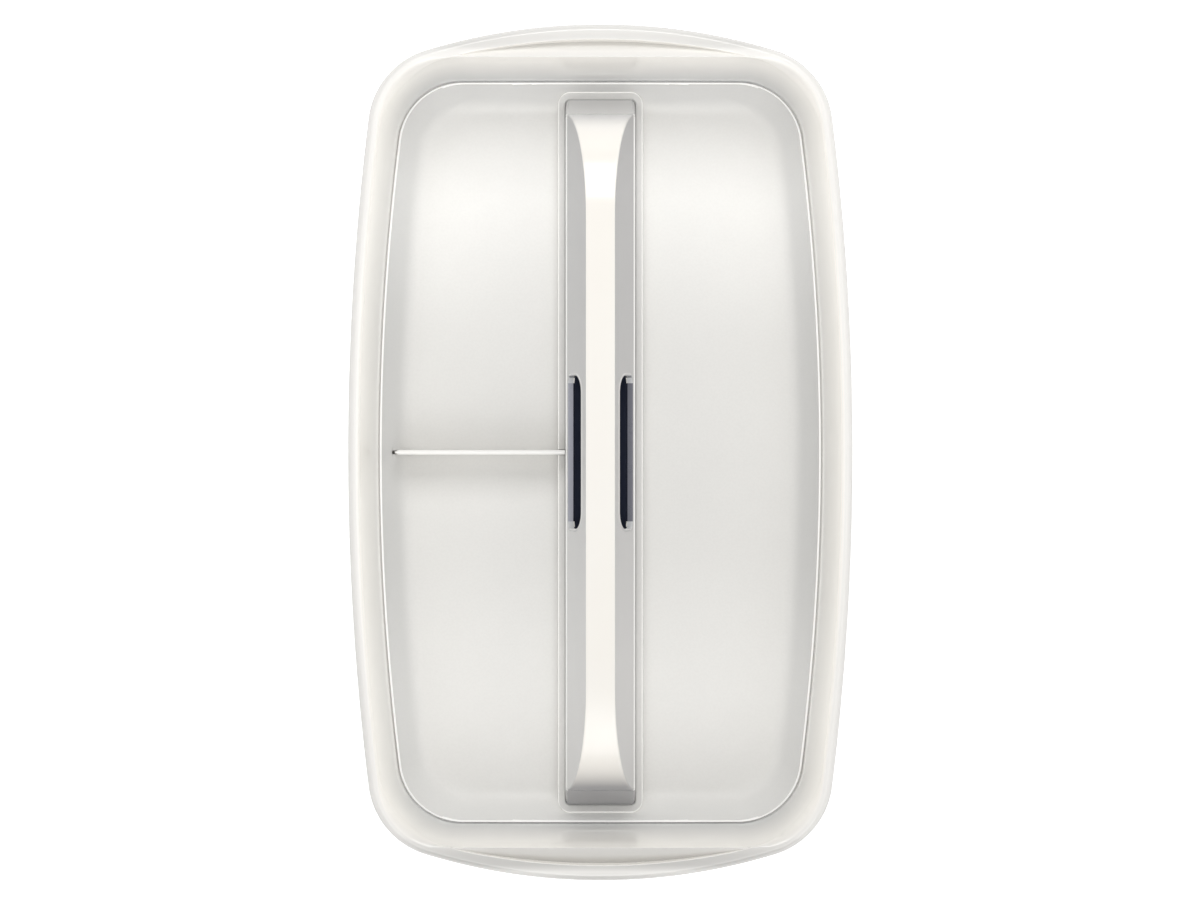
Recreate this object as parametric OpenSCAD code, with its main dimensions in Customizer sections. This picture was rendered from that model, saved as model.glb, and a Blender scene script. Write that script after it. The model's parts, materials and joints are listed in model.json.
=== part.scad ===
// Desk organiser tray with bowed sides, a drop-in liner, a hollow carry handle
// down the middle and one lift-out divider. Millimetres, +Z up.
// Origin: centre of the footprint, on the plane the feet stand on.
// X is the width, Y is the length, the handle runs along Y.

/* [Tray body] */
// Width over the rim, at mid length
body_w = 181; // [150:1:220]
// Length over the rim, on the centre line
body_l = 307; // [280:1:360]
// Height from the table to the top of the rim
body_h = 57; // [50:0.5:75]
// Radius of the bow of the long sides
side_bow_r = 980; // [700:10:1500]
// Radius of the bow of the short ends
end_bow_r = 215; // [190:5:300]
// Radius of the outer corners at the rim
corner_r = 29; // [24:1:34]
// Thickness of the outer wall at its foot, measured level
wall_t = 2; // [1.6:0.1:3]
// Lean of the outer wall, level run per unit of height
wall_lean = 0.122; // [0.08:0.002:0.15]
// Radius of the rounded lip on the outer edge of the rim
lip_r = 2.2; // [1.2:0.1:3]
// Thickness of the tray base
base_t = 1.9; // [1.5:0.1:2.5]
// Width of the rim on the long sides, from the outside to the inner wall
side_flange_w = 4.1; // [3:0.1:6]
// Width of the rim flange on the ends, at the centre line
end_flange_w = 5.8; // [4:0.2:8]
// Radius of the bow of the crescent pocket in each end of the rim
pocket_bow_r = 234; // [215:1:260]
// Depth of the crescent pocket inside each end of the rim, at its deepest
ledge_d = 4.4; // [2:0.2:6]

/* [Liner] */
// Thickness of the liner
liner_t = 1.7; // [1.2:0.1:2.2]
// Height of the sloped border above the liner floor
border_h = 9; // [6:0.5:12]
// Level width of the sloped border along the sides
border_w = 8.6; // [6:0.2:10]
// Gap between the liner and the tray wall
liner_gap = 0.3; // [0.2:0.05:0.5]
// Height of the collar round the handle, above the liner floor
collar_h = 6.2; // [4:0.2:8]
// Level width of the collar at its foot
collar_w = 2.75; // [2.2:0.05:3.5]

/* [Handle] */
// Width of the handle at its foot
handle_w = 26; // [22:0.5:30]
// Width of the flat strip on top of the handle
handle_top_w = 10.5; // [8:0.5:14]
// Length of the handle at its foot
handle_l = 265; // [250:1:268]
// Height of the handle above the liner floor
handle_h = 38; // [34:0.5:42]
// Height of the upright part of the flanks above the liner floor
flank_h = 17; // [14:0.5:20]
// Length over which the top of each end curves down
end_fall = 41; // [35:0.5:46]
// Height of that curve
end_drop = 24; // [20:0.5:26]
// Distance the foot of each end reaches beyond the curve
end_toe = 6.5; // [4:0.5:9]
// Height of the upright foot of each end above the liner floor
toe_h = 5.5; // [4:0.5:8]
// Thickness of the handle skin
skin_t = 2; // [1.6:0.1:2.4]
// Length of each finger slot
slot_l = 56.5; // [40:0.5:64]
// Height of each finger slot
slot_h = 13.5; // [13:0.25:14]
// Radius of the upper corners of each finger slot
slot_r = 6.5; // [4:0.25:6.5]
// Radius of the lower corners of each finger slot
slot_foot_r = 1.9; // [1:0.25:3]

/* [Divider] */
// Thickness of the divider
divider_t = 1.7; // [1.2:0.1:2.4]
// Height of the divider above the liner floor
divider_h = 18; // [12:0.5:24]

/* [Feet and screws] */
// Diameter of the foot pads
foot_d = 14; // [10:0.5:18]
// Distance the foot pads stand below the base
foot_out = 0.8; // [0.5:0.1:1.5]
// Shank diameter of the handle screws
screw_d = 3; // [2.5:0.1:3.5]
// Length of the handle screws under the head
screw_l = 16; // [12:1:20]

/* [Hidden] */

thin = 0.01;         // height of the sheets that hulls are stretched over
over = 1;            // how far cutters run past a face
join = 0.1;          // overlap of parts that merge
rest_gap = 0.1;      // height between parts stacked on the base
straight_r = 20000;  // bow of an end that is all but straight

// Levels
base_z = foot_out;                        // underside of the base
base_top = base_z + base_t;
floor_z = base_top + rest_gap + liner_t;  // top of the liner floor
seam_z = floor_z + border_h;              // where the liner meets the wall
lip_z = body_h - lip_r;                   // where the rounded lip starts

// Tray walls
rim_half_w = body_w / 2;
rim_half_l = body_l / 2;
ridge_y = rim_half_l - end_flange_w - 6.25;  // top edge of the straight end wall
ridge_t = 0.5;                               // width of the ridge left beside the pocket
ridge_drop = 0.4;                            // pocket floor below the rim, at the ridge
end_lean = 0.0586;                           // level run of the end wall per unit of height
end_wall_t = 2.2;                            // straight end wall, beside the hollow
core_z = body_h - ledge_d - 2.8;             // top of the hollow under each end
// run of the inner side wall from the rim down to the base
side_run = wall_lean * (lip_z - base_top) - side_flange_w + wall_t;

// half width, half length and corner radius of the inner wall at a height
function inner_half_w(z) =
    rim_half_w - side_flange_w - side_run * (body_h - z) / (body_h - base_top);
function inner_half_l(z) = ridge_y - end_lean * (body_h - z);
function inner_corner_r(z) = 24.3 + 0.12 * (z - seam_z);
// half width and half length of the outer wall at a height
function outer_half_w(z) = rim_half_w - wall_lean * (lip_z - z);
function outer_half_l(z) = rim_half_l - wall_lean * (lip_z - z);

// Liner
liner_bow_r = 950;
pan_half_w = inner_half_w(seam_z) - liner_gap;
pan_half_l = inner_half_l(seam_z) - liner_gap;
floor_half_w = inner_half_w(seam_z) - 0.6 - border_w;
floor_half_l = inner_half_l(seam_z) - 0.3 - border_w;
pan_edge_t = 0.35;     // thickness of the liner at its top edge
handle_hole_gap = 0.7; // handle opening, larger than the handle

// Handle, heights from the liner floor
handle_foot_z = -liner_t;
flank_taper = 0.3;                            // run of each flank over its upright part
slot_z = floor_z + flank_h + 2.6 + slot_h / 2;  // centre of the finger slots
slot_cut_l = 40;
grip_gap = 0.15;                              // between the handle skin and the sleeve
grip_border = 1.8;                            // sleeve beyond the edge of the finger slot
grip_lip = 0.3;                               // sleeve inside the edge of the finger slot

// Feet and screws
foot_x = 58;
foot_y = 108;
foot_sink = 1;       // part of each pad set into the base
screw_y = [-104, -43, 43, 104];
seat_d = 10;         // raised screw seats in the base
seat_h = 3.2;
post_d = 8;          // screw posts inside the handle
head_h = 2;
head_d = 5.6;
head_recess = 2.6;   // depth of the screw head recess under the base
tip_l = 1.5;

// ---- shared shapes ----
// the points in reverse order, mirrored to the other side of the second axis
function mirror_back(points) =
    [for (i = [len(points) - 1:-1:0]) [-points[i][0], points[i][1]]];

// crossing of two circles, on the right of the line from the first centre to the second
function crossing(centre1, r1, centre2, r2) =
    let (gap = norm(centre2 - centre1),
         along = (centre2 - centre1) / gap,
         reach = (r1 * r1 - r2 * r2 + gap * gap) / (2 * gap),
         rise = sqrt(r1 * r1 - reach * reach))
    centre1 + reach * along + rise * [along[1], -along[0]];

// points of an arc, without its last one
function arc(centre, r, start, end, steps) =
    [for (i = [0:steps - 1])
        let (angle = start + (end - start) * i / steps)
        centre + r * [cos(angle), sin(angle)]];

// +X +Y quarter of the tray outline: side bow, rounded corner, end bow
function quarter(half_w, half_l, side_r, end_r, round_r) =
    let (side = [half_w - side_r, 0],
         end = [0, half_l - end_r],
         corner = crossing(end, end_r - round_r, side, side_r - round_r),
         side_angle = atan2(corner[1] - side[1], corner[0] - side[0]),
         end_angle = atan2(corner[1] - end[1], corner[0] - end[0]))
    concat(arc(side, side_r, 0, side_angle, 8),
           arc(corner, round_r, side_angle, end_angle, 10),
           arc(end, end_r, end_angle, 90, 6));

function outline(half_w, half_l, side_r, end_r, round_r) =
    let (right = quarter(half_w, half_l, side_r, end_r, round_r),
         upper = concat(right, [[0, half_l]], mirror_back(right)))
    concat(upper, [for (i = [1:len(upper) - 2]) -upper[i]]);

module sheet(z) {
    translate([0, 0, z]) linear_extrude(height = thin) children();
}
module slice(z, half_w, half_l, side_r, end_r, round_r) {
    sheet(z) polygon(outline(half_w, half_l, side_r, end_r, round_r));
}
module rounded(w, l, r) {
    translate([r - w / 2, -l / 2]) square([w - 2 * r, l]);
    translate([-w / 2, r - l / 2]) square([w, l - 2 * r]);
    for (x = [-1, 1], y = [-1, 1])
        translate([x * (w / 2 - r), y * (l / 2 - r)]) circle(r, $fn = 48);
}
// a [y, z] profile drawn out along X, and an [x, z] profile along Y
module along_x(length) {
    rotate([90, 0, 90]) linear_extrude(height = length, center = true) children();
}
module along_y(length) {
    rotate([90, 0, 0]) linear_extrude(height = length, center = true) children();
}
module at_feet(z) {
    for (x = [-1, 1], y = [-1, 1]) translate([x * foot_x, y * foot_y, z]) children();
}
module at_screws(z) {
    for (y = screw_y) translate([0, y, z]) children();
}

// ---- tray shell ----
// outer wall as it is at a level, drawn at height z
module wall_slice(z, level, inset) {
    slice(z, outer_half_w(level) - inset, outer_half_l(level) - inset,
        side_bow_r - inset, end_bow_r - inset, corner_r - inset);
}
module cavity_slice(z) {
    slice(z, inner_half_w(z), inner_half_l(z), side_bow_r - 20, straight_r, inner_corner_r(z));
}
module tray_body() {
    hull() {
        // rounded foot
        wall_slice(base_z, base_z, 3);
        wall_slice(base_z + 0.9, base_z, 0.9);
        wall_slice(base_z + 3, base_z + 3, 0);
        // rounded lip
        for (angle = [0, 30, 60])
            wall_slice(lip_z + lip_r * sin(angle), lip_z, lip_r * (1 - cos(angle)));
        wall_slice(body_h - thin, lip_z, lip_r);
    }
}
// area between a straight edge and a bow whose crown is at bow_y
module crescent(bow_r, bow_y, straight_y) {
    intersection() {
        translate([0, bow_y - bow_r]) circle(bow_r, $fn = 360);
        translate([-60, straight_y]) square([120, 30]);
    }
}
// pocket behind the straight end wall: its floor falls outward to the curved flange
module end_scoop() {
    inner_y = ridge_y + ridge_t;
    outer_y = ridge_y + 7;
    inner_z = body_h - ridge_drop;
    intersection() {
        translate([0, 0, body_h - ledge_d - 2]) linear_extrude(height = ledge_d + 4)
            crescent(pocket_bow_r, rim_half_l - end_flange_w, inner_y);
        along_x(130) polygon([
            [inner_y, inner_z], [outer_y, inner_z - ledge_d * 1.1],
            [outer_y, body_h + 2], [inner_y, body_h + 2]]);
    }
}
// shift moves the bow towards the middle, the straight edge stays
module core_slice(z, level, inset, shift) {
    translate([0, -shift, 0]) sheet(z)
        crescent(end_bow_r - inset, rim_half_l - inset, inner_half_l(level) + end_wall_t + shift);
}
// hollow under each end of the rim, open below
module end_core() {
    hull() {
        core_slice(base_z - over, base_z, 4, 6.75);
        core_slice(core_z, core_z, 2.4, 0.9);
    }
}
module tray_shell() {
    color([0.96, 0.955, 0.94])
    difference() {
        union() {
            difference() {
                tray_body();
                hull() {
                    cavity_slice(base_top);
                    cavity_slice(body_h + over);
                }
            }
            at_screws(base_top - join) cylinder(d = seat_d, h = seat_h + join, $fn = 48);
        }
        for (turn = [0, 180]) rotate([0, 0, turn]) {
            end_scoop();
            end_core();
        }
        at_feet(base_z - over) cylinder(d = foot_d + 0.3, h = over + foot_sink + 0.05, $fn = 64);
        at_screws(base_z - over) {
            cylinder(d = head_d + 0.6, h = over + head_recess, $fn = 48);
            cylinder(d = screw_d + 0.4, h = 12, $fn = 48);
        }
    }
}

// ---- liner: a shallow pan with a sloped border and a collar for the handle ----
// slice of the pan, grown from a half width and half length
module pan_slice(z, half_w, half_l, grow, round_r) {
    slice(z, half_w + grow, half_l + grow, liner_bow_r, straight_r, round_r);
}
module pan() {
    difference() {
        hull() {
            pan_slice(floor_z - liner_t, floor_half_w, floor_half_l, 0.5, 20.5);
            pan_slice(seam_z - 0.8, pan_half_w, pan_half_l, -0.25, 24);
            pan_slice(seam_z - thin, pan_half_w, pan_half_l, 0, 24);
        }
        hull() {
            pan_slice(floor_z, floor_half_w, floor_half_l, 0, 20);
            for (z = [seam_z, seam_z + over])
                pan_slice(z, pan_half_w, pan_half_l, -pan_edge_t, 23.7);
        }
    }
}
module liner_pan() {
    hole_w = handle_w + handle_hole_gap;
    hole_l = handle_l + handle_hole_gap;
    collar_out_w = hole_w + 2 * collar_w;
    collar_out_l = hole_l + 2 * collar_w;
    notch_w = divider_t + 0.5;
    border_slot = [3.4, 1.4, 8];
    color([0.86, 0.865, 0.86])
    difference() {
        union() {
            pan();
            // tapered collar
            hull() {
                sheet(floor_z - 1) rounded(collar_out_w + 0.1, collar_out_l + 0.1, 3.7);
                sheet(floor_z + collar_h) rounded(collar_out_w - 0.5, collar_out_l - 0.5, 3.5);
            }
        }
        translate([0, 0, floor_z - liner_t - over])
            linear_extrude(height = collar_h + liner_t + 2 * over) rounded(hole_w, hole_l, 1.9);
        // divider seat on the -X side: a notch in the collar and a slot in the border
        translate([-handle_w / 2 - 4.2, -notch_w / 2, floor_z + 0.05])
            cube([5, notch_w, collar_h + over]);
        translate([-floor_half_w - 4.6, -border_slot[1] / 2, floor_z - 3]) cube(border_slot);
    }
}

// ---- handle ----
// Shapes are drawn inset from the outer skin, down to foot_z.
// cross section: upright flanks, then slopes up to the flat top strip
module handle_section(inset, foot_z) {
    top = handle_h - inset;
    shoulder_x = handle_w / 2 - flank_taper;
    slope = (shoulder_x - handle_top_w / 2) / (handle_h - flank_h);
    top_x = shoulder_x - slope * (top - flank_h) - 1.06 * inset;
    bevel = 0.6;
    right = [
        [handle_w / 2 - inset, foot_z],
        [shoulder_x - inset, flank_h - inset * 0.3],
        [top_x + bevel, top - bevel],
        [top_x, top]];
    polygon(concat(right, mirror_back(right)));
}
// side view: flat top, each end curving down to a crease, a slanted face and an upright foot
module handle_side(inset, foot_z) {
    steps = 16;
    curve_end = 84;
    curve_y = handle_l / 2 - end_toe - end_fall;
    curve_z = handle_h - end_drop;
    toe_y = handle_l / 2 - inset;
    half = concat([[toe_y, foot_z], [toe_y, toe_h - 0.3 * inset]],
        [for (i = [steps:-1:0])
            let (angle = curve_end * i / steps)
            [curve_y + (end_fall - inset) * sin(angle),
             curve_z + (end_drop - inset) * cos(angle)]]);
    polygon(concat(half, mirror_back(half)));
}
module handle_form(inset, foot_z) {
    translate([0, 0, floor_z]) intersection() {
        along_y(handle_l + 2) handle_section(inset, foot_z);
        along_x(handle_w + 2) handle_side(inset, foot_z);
        translate([0, 0, foot_z]) linear_extrude(height = handle_h + 20)
            rounded(handle_w - 2 * inset, handle_l - 2 * inset, max(1.8 - inset, 0.4));
    }
}
// finger slot, grown all round: wide rounding above, small rounding at the sill
module slot_shape(grow) {
    half_l = slot_l / 2 + grow;
    half_h = slot_h / 2 + grow;
    low_r = slot_foot_r + grow;
    high_r = slot_r + grow;
    translate([low_r - half_l, -half_h]) square([2 * (half_l - low_r), half_h]);
    translate([-half_l, low_r - half_h]) square([2 * half_l, 2 * half_h - low_r - high_r]);
    translate([high_r - half_l, -0.5]) square([2 * (half_l - high_r), half_h + 0.5]);
    for (side = [-1, 1]) {
        translate([side * (half_l - low_r), low_r - half_h]) circle(low_r, $fn = 48);
        translate([side * (half_l - high_r), half_h - high_r]) circle(high_r, $fn = 96);
    }
}
module hand_hole(grow, length) {
    translate([0, 0, slot_z]) along_x(length) slot_shape(grow);
}
module handle_shell() {
    color([0.97, 0.96, 0.945])
    difference() {
        union() {
            difference() {
                handle_form(0, handle_foot_z);
                handle_form(skin_t, handle_foot_z - over);
            }
            // screw posts, trimmed to the handle
            intersection() {
                handle_form(0.5, handle_foot_z);
                at_screws(base_top + seat_h + rest_gap) cylinder(d = post_d, h = 60, $fn = 48);
            }
        }
        hand_hole(0, slot_cut_l);
        at_screws(0)
            cylinder(d = screw_d + 0.1, h = base_z + head_recess + screw_l + 1, $fn = 32);
    }
}
// dark lining inside the handle that frames the finger slots
module grip_sleeve() {
    color([0.11, 0.13, 0.18])
    difference() {
        intersection() {
            handle_form(skin_t + grip_gap, handle_foot_z);
            hand_hole(grip_border, slot_cut_l);
        }
        hand_hole(-grip_lip, slot_cut_l + 10);
    }
}

// ---- divider: stands on the -X side, from the handle to the sloped border ----
// tongue outline: [x from the outer end of the panel, z from the liner floor]
tongue = [[0.95, 0.5], [-1.1, 0.9], [-1.3, 1.3], [-1.3, 4.6], [0.3, 6.2], [0.95, 4]];
tongue_t = 1;
module divider_panel() {
    inner_x = -(handle_w / 2 + 0.15);
    outer_x = -(floor_half_w + 2.3);
    foot_z = 0.12;
    half_t = divider_t / 2;
    eaves_z = divider_h - 0.5;
    color([0.93, 0.93, 0.92])
    translate([0, 0, floor_z]) {
        // panel with a shallow roof along its top edge
        intersection() {
            along_y(divider_t) polygon([
                [inner_x, foot_z], [-floor_half_w + 0.2, foot_z], [outer_x, 2.75],
                [outer_x, divider_h], [inner_x, divider_h]]);
            along_x(400) polygon([
                [-half_t, 0], [half_t, 0], [half_t, eaves_z], [0, divider_h], [-half_t, eaves_z]]);
        }
        // tongue that drops into the slot in the sloped border
        translate([outer_x, 0, 0]) along_y(tongue_t) polygon(tongue);
    }
}

// ---- foot pads ----
module foot_pads() {
    r = foot_d / 2;
    top = foot_out + foot_sink;
    bevel = 0.5;
    color([0.3, 0.31, 0.33])
    at_feet(0) rotate_extrude($fn = 64)
        polygon([[0, 0], [r - bevel, 0], [r, bevel], [r, top], [0, top]]);
}

// ---- screws from below, through the base into the handle ----
module handle_screw() {
    head_r = head_d / 2;
    cross = [3.2, 0.6, 1.2];  // length, width and depth of the cross recess
    difference() {
        union() {
            rotate_extrude($fn = 48) polygon([[0, 0], [head_r - 0.7, 0], [head_r - 0.15, 0.5],
                [head_r, 1.2], [head_r, head_h], [0, head_h]]);
            translate([0, 0, head_h - join])
                cylinder(d = screw_d, h = screw_l - tip_l + join, $fn = 32);
            translate([0, 0, head_h + screw_l - tip_l])
                cylinder(d1 = screw_d, d2 = 1, h = tip_l, $fn = 32);
        }
        for (turn = [0, 90]) rotate([0, 0, turn])
            translate([-cross[0] / 2, -cross[1] / 2, -0.1]) cube(cross + [0, 0, 0.1]);
    }
}
module handle_screws() {
    color([0.62, 0.63, 0.65])
    at_screws(base_z + head_recess - head_h - 0.05) handle_screw();
}

tray_shell();
liner_pan();
handle_shell();
grip_sleeve();
divider_panel();
foot_pads();
handle_screws();
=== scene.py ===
import json
import math
from functools import partial

import bmesh
import bpy
import numpy as np
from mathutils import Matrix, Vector

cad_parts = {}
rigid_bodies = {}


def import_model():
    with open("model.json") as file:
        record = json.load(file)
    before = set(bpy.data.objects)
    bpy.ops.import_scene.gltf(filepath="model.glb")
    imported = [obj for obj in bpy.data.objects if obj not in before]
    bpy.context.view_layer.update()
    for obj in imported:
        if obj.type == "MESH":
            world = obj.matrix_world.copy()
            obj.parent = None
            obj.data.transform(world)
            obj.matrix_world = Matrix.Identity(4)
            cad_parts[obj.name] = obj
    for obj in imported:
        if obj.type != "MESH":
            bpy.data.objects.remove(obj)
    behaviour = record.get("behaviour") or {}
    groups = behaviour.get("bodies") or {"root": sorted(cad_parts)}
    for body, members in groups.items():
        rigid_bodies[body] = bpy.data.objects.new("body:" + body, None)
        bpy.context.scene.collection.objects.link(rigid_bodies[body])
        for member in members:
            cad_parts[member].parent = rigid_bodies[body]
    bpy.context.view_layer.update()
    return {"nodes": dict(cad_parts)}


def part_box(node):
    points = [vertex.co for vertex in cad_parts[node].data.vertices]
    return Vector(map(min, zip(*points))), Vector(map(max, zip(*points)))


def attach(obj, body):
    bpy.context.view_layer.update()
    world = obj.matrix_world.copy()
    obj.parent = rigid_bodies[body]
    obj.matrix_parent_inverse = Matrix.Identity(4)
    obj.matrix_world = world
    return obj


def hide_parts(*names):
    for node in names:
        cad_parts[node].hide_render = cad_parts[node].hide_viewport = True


for start_object in list(bpy.data.objects):
    bpy.data.objects.remove(start_object)

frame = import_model()
MM = 0.001


# ---------------------------------------------------------------- main sizes, mm
def box_mm(node):
    low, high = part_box(node)
    return [c / MM for c in low], [c / MM for c in high]


shell_low, shell_high = box_mm("tray_shell")
liner_low, liner_high = box_mm("liner_pan")
handle_low, handle_high = box_mm("handle_shell")

RIM_X, RIM_Y, TOP_Z = shell_high    # half sizes of the rim and its height
BASE_Z = shell_low[2]
BASE_TOP = liner_low[2] - 0.1       # inside floor of the shell
LINER_T = 1.7
FLOOR_Z = liner_low[2] + LINER_T    # top face of the liner floor
SEAM_Z = liner_high[2]              # where the liner meets the inner wall
HANDLE_X, HANDLE_Y, HANDLE_TOP = handle_high
DIVIDER_TOP = box_mm("divider_panel")[1][2]

# rim outline: bowed sides, bowed ends, round corners
SIDE_R, END_R, CORNER_R = 980.0, 215.0, 29.0
STRAIGHT_R = 20000.0                # an end bow so wide that it is almost straight
WALL_T, WALL_LEAN, END_LEAN = 2.0, 0.122, 0.0586
LIP, SIDE_FLANGE = 2.2, 4.1
# crescent pocket in the rim at each end, inside the flange
FLANGE_W, POCKET_W, POCKET_R = 5.8, 6.25, 234.0
POCKET_SLOPE = 0.745
RIDGE_Y = RIM_Y - FLANGE_W - POCKET_W
POCKET_TIP_X = math.sqrt(POCKET_R ** 2 - (POCKET_R - POCKET_W) ** 2)

SCREW_Y = (-104.0, -43.0, 43.0, 104.0)
SCREW_SEAT = 2.6                    # depth of the screw recess in the underside
FOOT_XY = [(sx * 58.0, sy * 108.0) for sx in (1, -1) for sy in (1, -1)]


# ---------------------------------------------------------------- small maths
def smooth01(t):
    t = np.clip(t, 0, 1)
    return t * t * (3 - 2 * t)


def lerp(a, b, t):
    return a + (b - a) * t


def bezier(start, control, end, t):
    return (1 - t) ** 2 * start + 2 * t * (1 - t) * control + t * t * end


def sd_rounded(p, half_x, half_y, r):
    """Signed distance to a rounded rectangle, negative inside."""
    q = np.abs(p) - np.array([half_x - r, half_y - r])
    return np.minimum(np.max(q, axis=-1), 0) + np.linalg.norm(np.maximum(q, 0), axis=-1) - r


# ---------------------------------------------------------------- bowed outlines
def meet(c1, r1, c2, r2):
    """Crossing of two circles in the first quadrant."""
    d = np.linalg.norm(c2 - c1)
    u = (c2 - c1) / d
    m = (r1 * r1 - r2 * r2 + d * d) / (2 * d)
    h = math.sqrt(max(r1 * r1 - m * m, 0))
    for sign in (1, -1):
        p = c1 + m * u + sign * h * np.array([u[1], -u[0]])
        if p[0] > 0 and p[1] > 0:
            return p
    return p


def bow_centres(half_x, half_y, side_r, end_r, corner_r):
    """Centres of the side, corner and end arcs, and the angles where the corner arc starts and ends."""
    side_c, end_c = np.array([half_x - side_r, 0.0]), np.array([0.0, half_y - end_r])
    corner_c = meet(side_c, side_r - corner_r, end_c, end_r - corner_r)
    start = math.atan2(corner_c[1] - side_c[1], corner_c[0] - side_c[0])
    stop = math.atan2(corner_c[1] - end_c[1], corner_c[0] - end_c[0])
    return side_c, corner_c, end_c, start, stop


def sd_outline(p, half_x, half_y, side_r, end_r, corner_r):
    """Signed distance to a bowed outline, negative inside."""
    p = np.abs(np.asarray(p, float))
    side_c, corner_c, end_c, start, stop = bow_centres(half_x, half_y, side_r, end_r, corner_r)
    side = np.linalg.norm(p - side_c, axis=1) - side_r
    end = np.linalg.norm(p - end_c, axis=1) - end_r
    v = p - corner_c
    angle = np.arctan2(v[:, 1], v[:, 0])
    radius = np.linalg.norm(v, axis=1)
    in_corner = (angle > start) & (angle < stop) & (radius > 0.2)
    return np.where(in_corner, radius - corner_r, np.maximum(side, end))


def resample(line, count):
    """Evenly spaced points along a polyline, the last one left out."""
    lengths = np.linalg.norm(np.diff(line, axis=0), axis=1)
    s = np.concatenate([[0], np.cumsum(lengths)])
    t = np.linspace(0, s[-1], count + 1)[:-1]
    return np.stack([np.interp(t, s, line[:, 0]), np.interp(t, s, line[:, 1])], 1)


def four(quadrant, last):
    """A closed loop from its first quadrant, which starts on X, and its point on the Y axis."""
    q = np.concatenate([quadrant, [last]])
    k = len(q) - 1
    return np.concatenate([q, q[:k][::-1] * [-1, 1], q[1:] * [-1, -1], q[1:k][::-1] * [1, -1]])


SIDE_N, BEND_N, END_N = COUNTS = (26, 34, 30)    # points per quadrant: side, corner, end


def outline(half_x, half_y, side_r, end_r, corner_r, tip_x=POCKET_TIP_X, counts=COUNTS):
    """Closed bowed loop; the end part of each quadrant starts at tip_x and has even steps in X."""
    side_c, corner_c, end_c, start, stop = bow_centres(half_x, half_y, side_r, end_r, corner_r)

    def arc(centre, r, begin, finish, n):
        t = np.linspace(begin, finish, n)
        return np.stack([centre[0] + r * np.cos(t), centre[1] + r * np.sin(t)], 1)

    side = arc(side_c, side_r, 0, start, 120)
    corner = arc(corner_c, corner_r, start, stop, 160)
    end = arc(end_c, end_r, stop, math.pi / 2, 200)
    rest = np.concatenate([corner, end[1:]])
    i = int(np.argmax(rest[:, 0] < tip_x))
    share = (rest[i - 1, 0] - tip_x) / (rest[i - 1, 0] - rest[i, 0])
    tip = rest[i - 1] + share * (rest[i] - rest[i - 1])
    bend = np.concatenate([rest[:i], [tip]])
    flat = np.concatenate([[tip], rest[i:]])
    xs = tip[0] * (1 - np.arange(counts[2]) / counts[2])
    ys = np.interp(-xs, -flat[:, 0], flat[:, 1])
    quadrant = np.concatenate([resample(side, counts[0]), resample(bend, counts[1]),
                               np.stack([xs, ys], 1)])
    return four(quadrant, np.array([0.0, half_y]))


def inner_x(z):
    """Half width of the cavity."""
    spread = WALL_LEAN * (TOP_Z - LIP - BASE_TOP) - SIDE_FLANGE + WALL_T
    return RIM_X - SIDE_FLANGE - spread * (TOP_Z - z) / (TOP_Z - BASE_TOP)


def inner_y(z):
    """Half length of the cavity."""
    return RIDGE_Y - END_LEAN * (TOP_Z - z)


def cavity(z, inset=0.0):
    corner_r = 24.3 + 0.12 * (z - SEAM_Z)
    return outline(inner_x(z) - inset, inner_y(z) - inset, SIDE_R - 20, STRAIGHT_R,
                   corner_r - inset)


def rim_outline(inset):
    return outline(RIM_X - inset, RIM_Y - inset, SIDE_R - inset, END_R - inset, CORNER_R - inset)


def at(z, xy):
    """Flat points lifted to one height, or to a height for each point."""
    heights = np.full((len(xy), 1), float(z)) if np.isscalar(z) else np.asarray(z)[:, None]
    return np.concatenate([xy, heights], 1)


# ---------------------------------------------------------------- solids as (vertices, faces), mm
def loft(rows, ring=False):
    """Skin over closed loops of equal count; the ends are capped, or joined if ring is set."""
    n, count = len(rows[0]), len(rows)
    faces = []
    for i in range(count if ring else count - 1):
        here, there = i * n, (i + 1) % count * n
        for j in range(n):
            k = (j + 1) % n
            faces.append([here + j, here + k, there + k, there + j])
    if not ring:
        faces.append(list(range(n))[::-1])
        faces.append([(count - 1) * n + j for j in range(n)])
    return np.concatenate(rows), faces


def prism(loop, z0, z1):
    return loft([at(z0, loop), at(z1, loop)])


def bar(x0, x1, half_y, z0, z1):
    loop = np.array([[x0, -half_y], [x1, -half_y], [x1, half_y], [x0, half_y]])
    return prism(loop, z0, z1)


def circle(radius, count, centre):
    t = np.linspace(0, 2 * math.pi, count, endpoint=False)
    return np.stack([centre[0] + radius * np.cos(t), centre[1] + radius * np.sin(t)], 1)


def cylinder(y, radius, count, z0, z1):
    """Upright cylinder on the Y axis."""
    return prism(circle(radius, count, (0, y)), z0, z1)


def lathe(profile, count, centre):
    """Upright solid of revolution from (radius, z) points."""
    return loft([at(z, circle(radius, count, centre)) for radius, z in profile])


def merge_parts(parts):
    verts, faces, offset = [], [], 0
    for part_verts, part_faces in parts:
        verts.append(part_verts)
        faces += [[i + offset for i in face] for face in part_faces]
        offset += len(part_verts)
    return np.concatenate(verts), faces


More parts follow.
